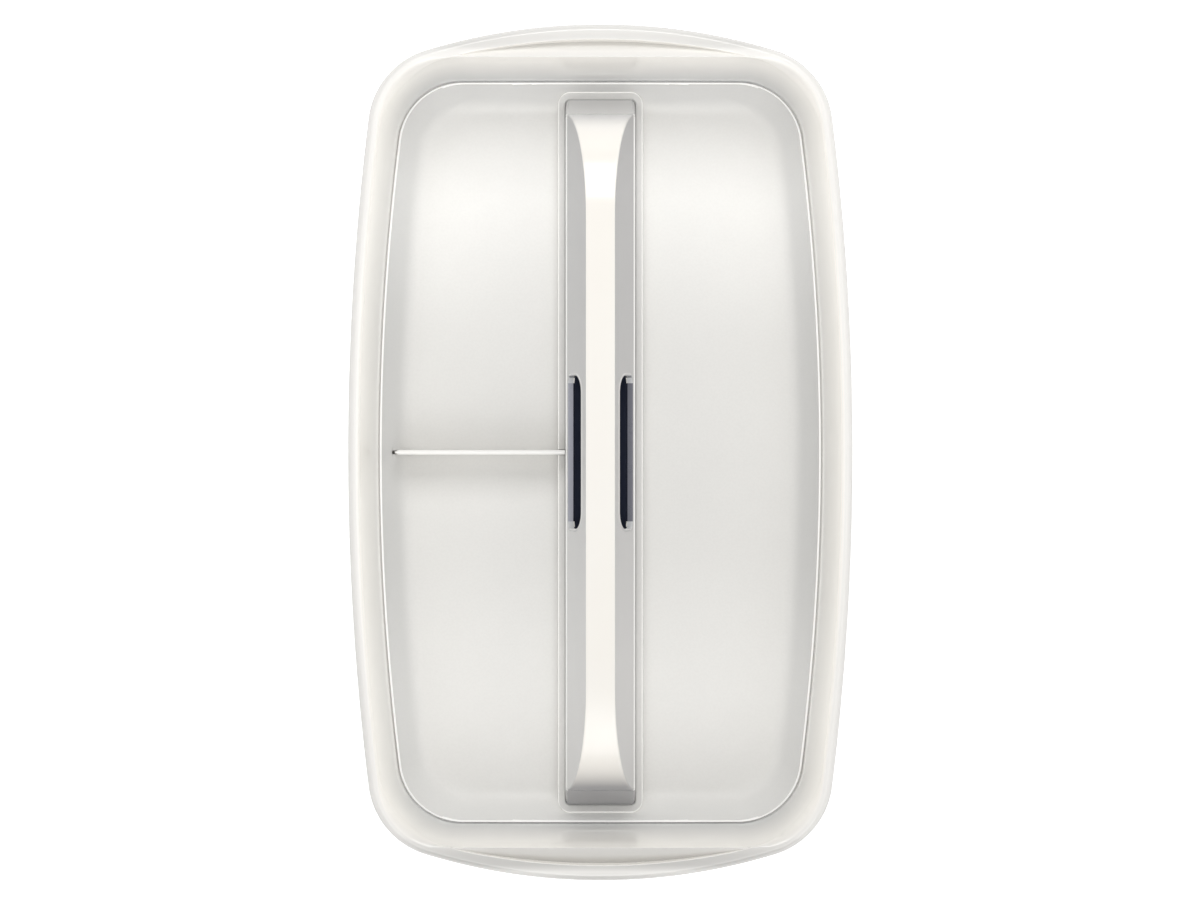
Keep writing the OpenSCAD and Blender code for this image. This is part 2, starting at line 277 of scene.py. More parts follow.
# ---------------------------------------------------------------- meshes and objects
def tidy_mesh(mesh, merge, sharp=None, turn_out=False):
    """Weld, drop slivers and shade smooth; edges steeper than sharp degrees are marked sharp."""
    bm = bmesh.new()
    bm.from_mesh(mesh)
    bmesh.ops.remove_doubles(bm, verts=bm.verts, dist=merge)
    bmesh.ops.dissolve_degenerate(bm, dist=1e-6, edges=bm.edges)
    if turn_out:
        bmesh.ops.recalc_face_normals(bm, faces=bm.faces)
    for face in bm.faces:
        face.smooth = True
    if sharp is not None:
        limit = math.radians(sharp)
        for edge in bm.edges:
            sides = edge.link_faces
            edge.smooth = len(sides) == 2 and sides[0].normal.angle(sides[1].normal, 0.0) < limit
    bm.to_mesh(mesh)
    bm.free()


def build_mesh(name, verts, faces, sharp=None):
    mesh = bpy.data.meshes.new(name)
    mesh.from_pydata((np.asarray(verts, float) * MM).tolist(), [],
                     [list(map(int, face)) for face in faces])
    tidy_mesh(mesh, merge=1e-5, sharp=sharp, turn_out=True)
    return mesh


def boolean(mesh, parts, operation="DIFFERENCE", sharp=32):
    """The mesh with closed (vertices, faces) parts cut away or joined on."""
    target = bpy.data.objects.new("tmp_cut_target", mesh)
    bpy.context.scene.collection.objects.link(target)
    cutter_mesh = build_mesh("tmp_cutter", *merge_parts(parts))
    cutter = bpy.data.objects.new("tmp_cutter", cutter_mesh)
    bpy.context.scene.collection.objects.link(cutter)
    modifier = target.modifiers.new("cut", "BOOLEAN")
    modifier.operation, modifier.solver, modifier.object = operation, "EXACT", cutter
    bpy.context.view_layer.update()
    depsgraph = bpy.context.evaluated_depsgraph_get()
    result = bpy.data.meshes.new_from_object(target.evaluated_get(depsgraph),
                                             preserve_all_data_layers=True, depsgraph=depsgraph)
    target.modifiers.clear()
    target.data = result
    bpy.data.meshes.remove(mesh)
    bpy.data.objects.remove(cutter)
    bpy.data.meshes.remove(cutter_mesh)
    bpy.data.objects.remove(target)
    tidy_mesh(result, merge=2e-6, sharp=sharp)
    return result


def add_part(name, mesh, materials, replaces, body="tray"):
    part = bpy.data.objects.new(name, mesh)
    bpy.context.scene.collection.objects.link(part)
    mesh.materials.clear()
    for material_ in materials:
        mesh.materials.append(material_)
    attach(part, body)
    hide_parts(replaces)


# ---------------------------------------------------------------- tray shell
BEND_FOOT_Z = 45.0                  # last level of the inner wall below the rim bend
INNER_WALL_Z = (5.0, 9.0, 12.0, 13.2, 14.2, 17.0, 21.0, 26.0, 31.0, 36.0, 41.0, BEND_FOOT_Z)
OUTER_WALL_Z = (50, 45, 38, 30, 22, 14, 8, 5.2)
FLANGE_FALL = 0.11                  # fall of the flange towards the cavity, per mm of width
POCKET_FALL = FLANGE_FALL * (FLANGE_W - LIP)
BASE_EDGE_R = 3.2                   # rounding between outer wall and underside
# the lip is an arc from its crisp top edge round to the outer wall, which leans by the draft
LIP_ANGLE, DRAFT = 62, 7            # degrees
LIP_R = LIP / (1 - math.cos(math.radians(LIP_ANGLE)))
LIP_CENTRE_Z = TOP_Z - 0.02 - LIP_R * math.sin(math.radians(LIP_ANGLE))


def flange_z(fall, share):
    """Height of the flange at a share of its width, from its inner edge to the lip."""
    return TOP_Z - fall * (1 - share) ** 1.5


def side_bend(corner, up, radius, out, fall, share):
    """Fourteen points from the inner wall round onto the flange."""
    end = np.append(corner[:2] + out * share, flange_z(fall, share))
    return [bezier(corner - up * radius, corner, end, i / 13.0) for i in range(14)]


def pocket_bend(corner, up, lip_xy):
    """Fourteen points over the ridge, down the pocket and up onto the flange.

    Also returns the inner edge of the flange and the share of its width already covered."""
    x, side = corner[0], 1.0 if corner[1] > 0 else -1.0
    edge_y = RIM_Y - FLANGE_W - POCKET_R + math.sqrt(POCKET_R ** 2 - x * x)
    width = edge_y - RIDGE_Y
    depth = POCKET_SLOPE * width
    down = np.array([0, side, -POCKET_SLOPE])
    ridge_r = 0.38
    ridge_run, foot_run = min(ridge_r, 0.3 * width), min(0.3, 0.25 * width)
    foot = np.array([x, side * edge_y, corner[2] - depth])
    start, stop = corner + down * ridge_run, foot - down * foot_run
    points = [bezier(corner - up * ridge_r, corner, start, i / 3.0) for i in range(4)]
    points += [lerp(start, stop, t) for t in (0.3, 0.62, 0.86)]
    above_foot = foot + np.array([0, 0, foot_run])
    points += [bezier(stop, foot, above_foot, i / 2.0) for i in range(3)]
    edge = np.array([x, side * edge_y, TOP_Z - POCKET_FALL])
    across = np.concatenate([lip_xy - edge[:2], [TOP_Z - edge[2]]])
    edge_run = min(0.42, 0.4 * depth + 0.05)
    below_edge = edge - np.array([0, 0, edge_run])
    points.append(lerp(points[9], below_edge, 0.5))
    share = edge_run / np.linalg.norm(across)
    on_flange = edge + across * share
    on_flange[2] = flange_z(POCKET_FALL, share)
    points += [bezier(below_edge, edge, on_flange, i / 2.0) for i in range(3)]
    return points, edge, share


def rim_rows():
    """The bend above the inner wall, with the pockets at the ends, then the flange to the lip."""
    top, lip = cavity(TOP_Z), rim_outline(LIP)
    quarter = SIDE_N + BEND_N + END_N
    # place of each point in its quadrant, counted from the X axis
    place = np.arange(len(top)) % (2 * quarter)
    place = np.minimum(place, 2 * quarter - place)
    # the bend radius grows where the corner begins and shrinks again towards the pocket
    turn = np.clip((place - SIDE_N) / BEND_N, 0, 1)
    radius = np.where(turn < 0.35, lerp(2.4, 7.5, smooth01(turn / 0.35)), 7.5)
    tight = lerp(7.5, 0.38, smooth01((turn - 0.55) / 0.45) ** 0.85)
    radius = np.where(turn > 0.55, tight, radius)
    width = np.linalg.norm(lip - top, axis=1)
    fall = FLANGE_FALL * np.minimum(width, 4.0)
    rise = (top - cavity(BEND_FOOT_Z)) / (TOP_Z - BEND_FOOT_Z)
    up = np.concatenate([rise, np.ones((len(top), 1))], 1)
    corner = at(TOP_Z - fall, top)
    columns = []
    for j in range(len(top)):
        if place[j] <= SIDE_N + BEND_N:
            share = min(0.88 * width[j], radius[j]) / width[j]
            column = side_bend(corner[j], up[j], radius[j], lip[j] - top[j], fall[j], share)
            edge, edge_fall = corner[j], fall[j]
        else:
            column, edge, share = pocket_bend(corner[j], up[j], lip[j])
            edge_fall = POCKET_FALL
        across = lip[j] - edge[:2]
        last = 1 - 0.16 / np.linalg.norm(across)
        for i in range(5):
            u = lerp(share, last, (i + 1) / 5.0)
            column.append(np.array([*(edge[:2] + across * u), flange_z(edge_fall, u)]))
        columns.append(column)
    return list(np.array(columns).swapaxes(0, 1))


def lip_rows():
    rows = []
    for degrees in (60, 52, 44, 36, 27, 18, 9, 0, -DRAFT):
        t = math.radians(degrees)
        rows.append(at(LIP_CENTRE_Z + LIP_R * math.sin(t), rim_outline(LIP_R * (1 - math.cos(t)))))
    return rows


def outer_rows():
    """The outer wall, its rounded foot and the underside."""
    draft = math.radians(DRAFT)
    top_z = LIP_CENTRE_Z - LIP_R * math.sin(draft)

    def outer(z, extra=0.0):
        inset = LIP_R * (1 - math.cos(draft)) + math.tan(draft) * (top_z - z) + extra
        return outline(RIM_X - inset, RIM_Y - inset, SIDE_R, END_R, CORNER_R - extra)

    rows = [at(z, outer(z)) for z in OUTER_WALL_Z]
    edge_z = BASE_Z + BASE_EDGE_R
    for i in range(1, 8):
        t = math.radians(DRAFT + (90 - DRAFT) * i / 7.0)
        z = BASE_Z + BASE_EDGE_R * (1 - math.sin(t))
        rows.append(at(z, outer(edge_z, BASE_EDGE_R * (1 - math.cos(t)))))
    return rows + [at(BASE_Z, outer(edge_z, extra)) for extra in (4.0, 9.0)]


def crescent_loop(r, edge_y, straight_y, shift, side, count=36):
    """Arc and chord of a crescent at the +Y or -Y end."""
    centre_y = edge_y - r
    tip_x = math.sqrt(r * r - (straight_y - centre_y) ** 2)
    xs = np.linspace(tip_x, -tip_x, count)
    arc = np.stack([xs, centre_y + np.sqrt(r * r - xs ** 2) + shift], 1)
    chord = np.stack([xs[1:-1][::-1], np.full(count - 2, straight_y + shift)], 1)
    loop = np.concatenate([arc, chord]) * [1, side]
    return loop if side > 0 else loop[::-1]


def crescent_cutter(side):
    """Hollow under the end flange, open below."""
    low_z, high_z = BASE_Z - 1.0, TOP_Z - 7.2
    wall = 2.2
    low_shift, high_shift = 6.75, 0.9
    low_y, high_y = inner_y(BASE_Z) + wall + low_shift, inner_y(high_z) + wall + high_shift
    rows = []
    for t in (0.0, 0.02, 0.5, 1.0):
        inset = lerp(4, 2.4, t)
        loop = crescent_loop(END_R - inset, RIM_Y - inset, lerp(low_y, high_y, t),
                             lerp(-low_shift, -high_shift, t), side)
        rows.append(at(lerp(low_z, high_z, t), loop))
    return loft(rows)


def build_shell(materials):
    rows = [at(BASE_TOP, cavity(BASE_TOP, inset)) for inset in (8.0, 1.2, 0.0)]
    rows += [at(z, cavity(z)) for z in INNER_WALL_Z]
    mesh = build_mesh("tray_shell_fine", *loft(rows + rim_rows() + lip_rows() + outer_rows()))
    seats = [cylinder(y, 5.0, 64, BASE_TOP - 0.6, BASE_TOP + 3.2) for y in SCREW_Y]
    mesh = boolean(mesh, seats, "UNION")
    foot_recess = [(7.15, BASE_Z - 1.0), (7.15, BASE_Z + 1.05)]
    screw_hole = [(3.5, BASE_Z - 0.5), (3.1, BASE_Z + 0.4), (3.1, BASE_Z + SCREW_SEAT),
                  (1.7, BASE_Z + SCREW_SEAT), (1.7, 8.0)]
    cuts = [lathe(foot_recess, 72, centre) for centre in FOOT_XY]
    cuts += [lathe(screw_hole, 48, (0.0, y)) for y in SCREW_Y]
    cuts += [crescent_cutter(side) for side in (1, -1)]
    add_part("tray_shell_fine", boolean(mesh, cuts), materials, "tray_shell")


# ---------------------------------------------------------------- liner
COLLAR_H, BORDER_H, BORDER_W = 6.2, 9.0, 8.6
# opening for the handle
OPEN_X, OPEN_Y, OPEN_R = HANDLE_X + 0.3, HANDLE_Y + 0.14, 1.85
# section of the collar round the opening: distance out from the opening, height over the floor
COLLAR_D, COLLAR_Z = np.array([
    (0.0, 5.78), (0.06, 5.92), (0.16, 6.0), (0.3, 6.04), (0.6, 6.07), (1.1, 6.11),
    (1.6, 6.15), (2.1, 6.19), (2.2, 6.2), (2.29, 6.186), (2.37, 6.15), (2.43, 6.10),
    (2.47, 6.04), (2.495, 5.95), (2.51, 5.85), (2.6, 3.5), (2.72, 0.30), (2.74, 0.2),
    (2.79, 0.09), (2.87, 0.03), (2.97, 0.005), (3.1, 0.0)]).T
# distances in from the rim of the liner where the raised border is sampled
BORDER_D = np.array([12.5, 11.5, 10.6, 9.8, 9.0, 8.3, 7.6, 6.9, 6.2, 5.4, 4.5, 3.6, 2.7, 1.8, 1.0,
                     0.4, 0.12, 0.0])
LINER_X, LINER_Y = inner_x(SEAM_Z) - 0.26, inner_y(SEAM_Z) - 0.26
LINER_SIDE_R, LINER_CORNER_R = 950.0, 24.0
# foot of the raised border on the liner floor
BORDER_X, BORDER_Y = inner_x(SEAM_Z) - 0.6 - BORDER_W, inner_y(SEAM_Z) - 0.3 - BORDER_W
LINER_RIM = (LINER_X - 0.35, LINER_Y - 0.35, LINER_SIDE_R, STRAIGHT_R, 23.7)
BORDER_FOOT = (BORDER_X, BORDER_Y, LINER_SIDE_R, STRAIGHT_R, 20.0)
LINER_COUNTS = (30, 48, 26)


def liner_outline(half_x, half_y, corner_r):
    return outline(half_x, half_y, LINER_SIDE_R, STRAIGHT_R, corner_r, tip_x=17.0,
                   counts=LINER_COUNTS)


def opening_loop(seam):
    """Loop round the handle opening and its outward normals, matched to the seam's points."""
    side_seam_n, end_n, corner_n = LINER_COUNTS[0], LINER_COUNTS[2], 14
    side_n = sum(LINER_COUNTS) - end_n - corner_n
    centre_x, centre_y = OPEN_X - OPEN_R, OPEN_Y - OPEN_R
    rest = np.linspace(seam[side_seam_n, 1], centre_y, side_n - side_seam_n + 1)[:-1]
    ys = np.concatenate([seam[:side_seam_n, 1], rest])
    angle = np.linspace(0, math.pi / 2, corner_n + 1)[:-1]
    xs = np.linspace(centre_x, 0, end_n + 1)[:-1]
    quadrant = np.concatenate([
        np.stack([np.full(side_n, OPEN_X), ys], 1),
        np.stack([centre_x + OPEN_R * np.cos(angle), centre_y + OPEN_R * np.sin(angle)], 1),
        np.stack([xs, np.full(end_n, OPEN_Y)], 1)])
    normals = np.concatenate([np.tile([1.0, 0.0], (side_n, 1)),
                              np.stack([np.cos(angle), np.sin(angle)], 1),
                              np.tile([0.0, 1.0], (end_n, 1))])
    return four(quadrant, np.array([0.0, OPEN_Y])), four(normals, np.array([0.0, 1.0]))


def soft_ramp(t, w):
    """Zero below, t above, eased over a band of half width w."""
    return np.where(t > w, t, np.where(t < -w, 0.0, (t + w) ** 2 / (4 * w)))


def liner_height(xy):
    """Top face of the liner: floor, collar and raised border, blended where they meet."""
    from_rim = -sd_outline(xy, *LINER_RIM)
    from_foot = sd_outline(xy, *BORDER_FOOT)
    share = from_rim / np.maximum(from_rim + from_foot, 1e-6)
    border = BORDER_H * soft_ramp(1 - np.clip(share, 0.0, 3.0), 0.3)
    collar = np.interp(sd_rounded(xy, OPEN_X, OPEN_Y, OPEN_R), COLLAR_D, COLLAR_Z)
    blend = 0.35
    h = np.clip(0.5 + 0.5 * (border - collar) / blend, 0, 1)
    fillet = np.where(np.minimum(border, collar) > 0.3, blend * h * (1 - h), 0.0)
    return FLOOR_Z + np.maximum(lerp(collar, border, h) + fillet, np.maximum(border, collar))


def liner_rows():
    """Loops from the opening over the collar, floor and border, then back along the underside."""
    seam = liner_outline(LINER_X, LINER_Y, LINER_CORNER_R)
    rim = liner_outline(LINER_RIM[0], LINER_RIM[1], LINER_RIM[4])
    under = liner_outline(BORDER_X + 0.5, BORDER_Y + 0.5, 20.5)
    opening, normals = opening_loop(seam)
    # the collar loops stay in their half of the narrow gap at the ends
    collar_max = 3.5
    room = LINER_RIM[1] - OPEN_Y
    reach = (0.5 * room + OPEN_R) / np.maximum(np.abs(normals[:, 1]), 1e-6) - OPEN_R
    reach = np.maximum(np.minimum(collar_max, reach), 0.5 * room)
    collar_out = opening + normals * reach[:, None]
    length = np.linalg.norm(rim - collar_out, axis=1)
    scale = np.minimum(1.0, 0.62 * length / BORDER_D[0])

    def border_loop(distance):
        return lerp(collar_out, rim, 1.0 - (distance * scale / length)[:, None])

    loops = [opening + normals * np.minimum(d, reach)[:, None]
             for d in [*COLLAR_D, 3.3, collar_max]]
    border_start = border_loop(BORDER_D[0])
    loops += [lerp(collar_out, border_start, t) for t in (0.1, 0.22, 0.36, 0.52, 0.68, 0.84)]
    loops += [border_loop(d) for d in BORDER_D]
    rows = [at(liner_height(xy), xy) for xy in loops]
    # thin rim: drop below the seam, share of the way from rim to seam outline
    for drop, share in ((0.0, 0.45), (0.04, 0.78), (0.14, 0.97)):
        rows.append(at(SEAM_Z - drop, lerp(rim, seam, share)))
    rows.append(at(SEAM_Z - 0.26, seam))
    # small outward step that closes the joint: drop below the seam, outset
    for drop, outset in ((0.3, 0.06), (0.33, 0.21), (0.9, 0.17), (1.3, -0.25)):
        loop = liner_outline(LINER_X + outset, LINER_Y + outset, LINER_CORNER_R)
        rows.append(at(SEAM_Z - drop, loop))
    under_z = FLOOR_Z - LINER_T
    wall_foot = liner_outline(LINER_X - 0.3, LINER_Y - 0.3, LINER_CORNER_R)
    rows.append(at(under_z + 0.4, lerp(wall_foot, under, 0.96)))
    rows.append(at(under_z, under))
    rows += [at(under_z, lerp(under, opening, t)) for t in (0.04, 0.5)]
    # wall of the opening: height over the floor, inset into the opening
    for z, inset in ((-LINER_T, 0.24), (5.1, 0.25), (5.5, 0.25), (5.64, 0.2), (5.71, 0.1)):
        rows.append(at(FLOOR_Z + z, opening - normals * inset))
    return rows


def build_liner(materials):
    mesh = build_mesh("liner_fine", *loft(liner_rows(), ring=True))
    # cut through the collar and slot in the border, both for the divider
    notch = bar(-17.2, -12.2, 1.1, FLOOR_Z + 0.03, FLOOR_Z + COLLAR_H + 2)
    slot = bar(-BORDER_X - 4.6, -BORDER_X - 1.2, 0.7, FLOOR_Z - 3, FLOOR_Z + 8)
    mesh = boolean(mesh, [notch, slot], sharp=48)
    add_part("liner_fine", mesh, materials, "liner_pan")
    # the collar's outer face and the rim take the edge material, which paints a highlight on them
    centres = np.array([face.center[:] for face in mesh.polygons]) / MM
    from_opening = sd_rounded(centres[:, :2], OPEN_X, OPEN_Y, OPEN_R)
    from_rim = -sd_outline(centres[:, :2], *LINER_RIM)
    z = centres[:, 2]
    on_collar = (from_opening > 2.27) & (from_opening < 2.66) & (z > FLOOR_Z + 2.0)
    on_rim = (from_rim > -0.2) & (from_rim < 0.42) & (z > SEAM_Z - 0.6)
    for face, on_edge in zip(mesh.polygons, on_collar | on_rim):
        face.material_index = 1 if on_edge else 0


# ---------------------------------------------------------------- handle (heights from liner floor)
HANDLE_H = HANDLE_TOP - FLOOR_Z
HANDLE_FOOT = handle_low[2] - FLOOR_Z
SKIN_T = 2.0
TOP_W = 10.5
FLANK_H = 17.0                      # upright lower part of the flanks
SHOULDER_Z, SHOULDER_IN = 17.6, 0.66
FLANK_SLOPE = (HANDLE_X - SHOULDER_IN - TOP_W / 2) / (HANDLE_H - SHOULDER_Z)
# each end falls on a quarter ellipse to a crease, then a straight run to the toe
END_FALL, END_DROP, END_TOE, TOE_H = 41.0, 24.0, 6.5, 5.5
# finger slot: round above, nearly square at its sill
SLOT_L, SLOT_H, SLOT_R, SLOT_FOOT_R = 56.3, 13.5, 6.5, 1.7
SLOT_Z = FLANK_H + 2.6 + SLOT_H / 2
# inset of the lower flank: height, inset
FLANK_Z, FLANK_IN = np.array([
    (-5.0, 0.0), (0.0, 0.0), (16.45, 0.06), (16.7, 0.08), (16.85, 0.13), (16.98, 0.24),
    (17.1, 0.38), (17.22, 0.50), (17.36, 0.58), (17.6, 0.64), (45.0, 0.0)]).T
# heights of the flank points; the slot window spans the WINDOW_N steps that begin HIGH_Z
LOW_Z = [HANDLE_FOOT, 0.2, 2.5, 5.0, 8.0, 11.0, 14.0, 15.8, 16.45, 16.7, 16.85, 16.98, 17.1,
         17.22, 17.36, SHOULDER_Z]
WINDOW_N = 16
HIGH_Z = list(np.linspace(17.95, 35.5, WINDOW_N + 1)) + [36.6]
FLANK_N = len(LOW_Z) + len(HIGH_Z)
FLANK_TOP = 37.3                    # height that HIGH_Z is stretched from
FAN_Z = 18.6                        # below this edge height the low points shrink too
ARC_N, TOP_N = 6, 18                # steps of the edge rounding, points across the top
# rounded lip of the finger slot: outset from the slot, depth into the flank
SLOT_BEAD = (
    (1.15, 0.0), (1.0, -0.02), (0.85, -0.09), (0.68, -0.2), (0.52, -0.27), (0.38, -0.29),
    (0.25, -0.25), (0.13, -0.12), (0.05, 0.06), (0.01, 0.3), (0.0, 0.6), (0.0, 1.1),
    (0.0, 1.6), (0.0, 1.66))
# SILL and SLOT_EDGE take painted shade, SHOULDER a painted highlight line
PLAIN, SILL, DARK, SLOT_EDGE, SHOULDER = range(5)    # material slots of the handle


def flank_x(z, skin=0.0):
    """Half width of the handle, inset by its skin: upright, a small shoulder, then slanted."""
    z = np.asarray(z, float)
    low = HANDLE_X - np.interp(z, FLANK_Z, FLANK_IN)
    high = HANDLE_X - SHOULDER_IN - FLANK_SLOPE * (z - SHOULDER_Z)
    return np.where(z < SHOULDER_Z, low, high) - skin * np.where(z > FLANK_H, 1.06, 1.0)


def handle_half_chain(skin):
    """Stations (y, z, normal y, normal z) from the +Y foot up to the middle of the handle."""
    half_y, toe_z = HANDLE_Y - skin, TOE_H - 0.3 * skin
    fall, drop = END_FALL - skin, END_DROP - skin
    centre_y, centre_z = HANDLE_Y - END_TOE - END_FALL, HANDLE_H - END_DROP
    crease, join = math.radians(84), math.radians(60)
    crease_y = centre_y + fall * math.sin(crease)
    crease_z = centre_z + drop * math.cos(crease)
    chain = [(half_y, z, 1.0, 0.0) for z in (HANDLE_FOOT, 0.0, 2.0, toe_z - 0.9, toe_z - 0.25)]
    normal = np.abs(np.array([crease_z - toe_z, crease_y - half_y]))
    normal /= np.linalg.norm(normal)
    for t in (0.02, 0.08, 0.2, 0.4, 0.6, 0.8, 0.93, 0.985):
        chain.append((lerp(half_y, crease_y, t), lerp(toe_z, crease_z, t), *normal))
    for u in [crease - 0.004, *np.linspace(crease - 0.02, join, 16), *np.linspace(join, 0, 34)[1:]]:
        normal = np.array([drop * math.sin(u), fall * math.cos(u)])
        normal /= np.linalg.norm(normal)
        chain.append((centre_y + fall * math.sin(u), centre_z + drop * math.cos(u), *normal))
    for start, stop, count in ((centre_y, 34.0, 14), (34.0, 21.0, 19), (21.0, 0.0, 13)):
        chain += [(y, HANDLE_H - skin, 0.0, 1.0) for y in np.linspace(start, stop, count)[1:]]
    return chain


def flank_heights(top_z):
    """Heights of the flank points below an edge that starts at top_z."""
    def stretch(length):
        return [SHOULDER_Z + (z - SHOULDER_Z) * length / (FLANK_TOP - SHOULDER_Z) for z in HIGH_Z]

    if top_z > FAN_Z:
        return LOW_Z + stretch(top_z - SHOULDER_Z)
    return [HANDLE_FOOT + (z - HANDLE_FOOT) * (top_z - HANDLE_FOOT) / (FAN_Z - HANDLE_FOOT)
            for z in LOW_Z + stretch(1.0)]


def edge_arc(edge, flank_normal, end_normal, radius):
    """Points rounding the edge from the flank to the top or end face."""
    cosine = float(np.dot(flank_normal, end_normal))
    centre = edge - (flank_normal + end_normal) * radius / (1 + cosine)
    angle = math.acos(max(-1, min(1, cosine)))
    points = []
    for a in range(ARC_N + 1):
        w = a / float(ARC_N)
        direction = (math.sin((1 - w) * angle) * flank_normal
                     + math.sin(w * angle) * end_normal) / math.sin(angle)
        points.append(centre + direction * radius)
    return points


def handle_grid(skin, middle_r, flare_r, foot_r):
    """Points of one skin, [station, point]; each station runs from the -X foot to the +X foot."""
    half = handle_half_chain(skin)
    chain = half + [(-y, z, -ny, nz) for y, z, ny, nz in half[:-1][::-1]]
    n = len(chain)
    fan_end = next(i for i in range(len(half)) if half[i][0] < 96.0)
    stations = []
    for i, (y, z, normal_y, normal_z) in enumerate(chain):
        edge = np.array([float(flank_x(z, skin)), y, z])
        lean = lerp(0.01, FLANK_SLOPE, float(smooth01((z - 16.2) / 1.6)))
        flank_normal = np.array([1.0, 0.0, lean])
        flank_normal = flank_normal / np.linalg.norm(flank_normal)
        radius = lerp(middle_r, flare_r, float(smooth01((abs(y) - 80) / 35.0)))
        radius = lerp(radius, foot_r, float(smooth01((18.0 - z) / 16.0)))
        arc = edge_arc(edge, flank_normal, np.array([0.0, normal_y, normal_z]), radius)
        # foot of the column: straight below in the middle, fanned towards the end corner
        j = min(i, n - 1 - i)
        foot_y = abs(y)
        if j < fan_end:
            foot_y = lerp(HANDLE_Y - skin - foot_r - 0.3, half[fan_end][0],
                          (j / float(fan_end)) ** 1.3)
        if y < 0:
            foot_y = -foot_y
        top_y, top_z = arc[0][1:]
        rise = top_z - HANDLE_FOOT
        heights = flank_heights(top_z)
        column = []
        for h in heights:
            # a station at the foot has no rise to share out, so it goes by order instead
            w = (h - HANDLE_FOOT) / rise if rise > 0.05 else heights.index(h) / float(FLANK_N)
            column.append([float(flank_x(h, skin)), lerp(foot_y, top_y, w), h])
        right = np.array(column + arc)
        left = right * [-1, 1, 1]
        top = [lerp(left[-1], right[-1], (a + 1) / float(TOP_N + 1)) for a in range(TOP_N)]
        stations.append(np.concatenate([left, top, right[::-1]]))
    return np.array(stations)


def handle_faces(grid, window, flip):
    """Quads of a skin with the window (stations i0-i1, points a0-a1) left open on both flanks."""
    n, m = grid.shape[:2]
    i0, i1, a0, a1 = window
    faces = []
    for i in range(n - 1):
        for a in range(m - 1):
            if i0 <= i < i1 and (a0 <= a < a1 or a0 <= m - 2 - a < a1):
                continue
            face = [i * m + a, i * m + a + 1, (i + 1) * m + a + 1, (i + 1) * m + a]
            faces.append(face[::-1] if flip else face)
    return faces


def window_loop(window, m, side):
    """Grid indices round the window, up its +Y side, along the top, down and back."""
    i0, i1, a0, a1 = window
    loop = [(i0, a) for a in range(a0, a1)]
    loop += [(i, a1) for i in range(i0, i1)]
    loop += [(i1, a) for a in range(a1, a0, -1)]
    loop += [(i, a0) for i in range(i1, i0, -1)]
    return [(i, m - 1 - a) for i, a in loop] if side > 0 else loop


def sd_slot(p):
    """Signed distance to the finger slot, in (y, z) about its centre."""
    p = np.asarray(p, float)
    r = np.where(p[..., 1] > 0, SLOT_R, SLOT_FOOT_R)
    qy = np.abs(p[..., 0]) - (SLOT_L / 2 - r)
    qz = np.abs(p[..., 1]) - (SLOT_H / 2 - r)
    return np.minimum(np.maximum(qy, qz), 0) + np.hypot(np.maximum(qy, 0), np.maximum(qz, 0)) - r


def slot_contour(yz, centre):
    """Where rays from the slot's centre through the given points cross its outline."""
    rays = yz - centre
    low, high = np.zeros(len(rays)), np.full(len(rays), 3.0)
    for _ in range(50):
        middle = 0.5 * (low + high)
        inside = sd_slot(rays * middle[:, None]) < 0
        low, high = np.where(inside, middle, low), np.where(inside, high, middle)
    return rays * low[:, None]


def slot_normals(p):
    e = 1e-3
    gy = (sd_slot(p + [e, 0]) - sd_slot(p - [e, 0])) / (2 * e)
    gz = (sd_slot(p + [0, e]) - sd_slot(p - [0, e])) / (2 * e)
    g = np.stack([gy, gz], 1)
    return g / np.linalg.norm(g, axis=1)[:, None]


def slot_rows(outer_yz, inner_yz, side):
    """Loops from the window of the outer skin, through the finger slot, to the inner skin."""
    centre = np.array([0.0, SLOT_Z])
    contour = slot_contour(outer_yz, centre)
    normals = slot_normals(contour)
    base = contour + centre

    def on_flank(yz, depth, skin):
        x = flank_x(yz[:, 1], skin) - depth
        return np.stack([side * x, yz[:, 0], yz[:, 1]], 1)

    bead_start = base + normals * SLOT_BEAD[0][0]
    rows = [on_flank(lerp(outer_yz, bead_start, t), 0.0, 0.0) for t in (0.35, 0.7)]
    rows += [on_flank(base + normals * outset, depth, 0.0) for outset, depth in SLOT_BEAD]
    back = base + normals * 0.12
    rows.append(on_flank(base, -0.12, SKIN_T))
    rows.append(on_flank(back, 0.0, SKIN_T))
    rows.append(on_flank(lerp(back, inner_yz, 0.5), 0.0, SKIN_T))
    return rows


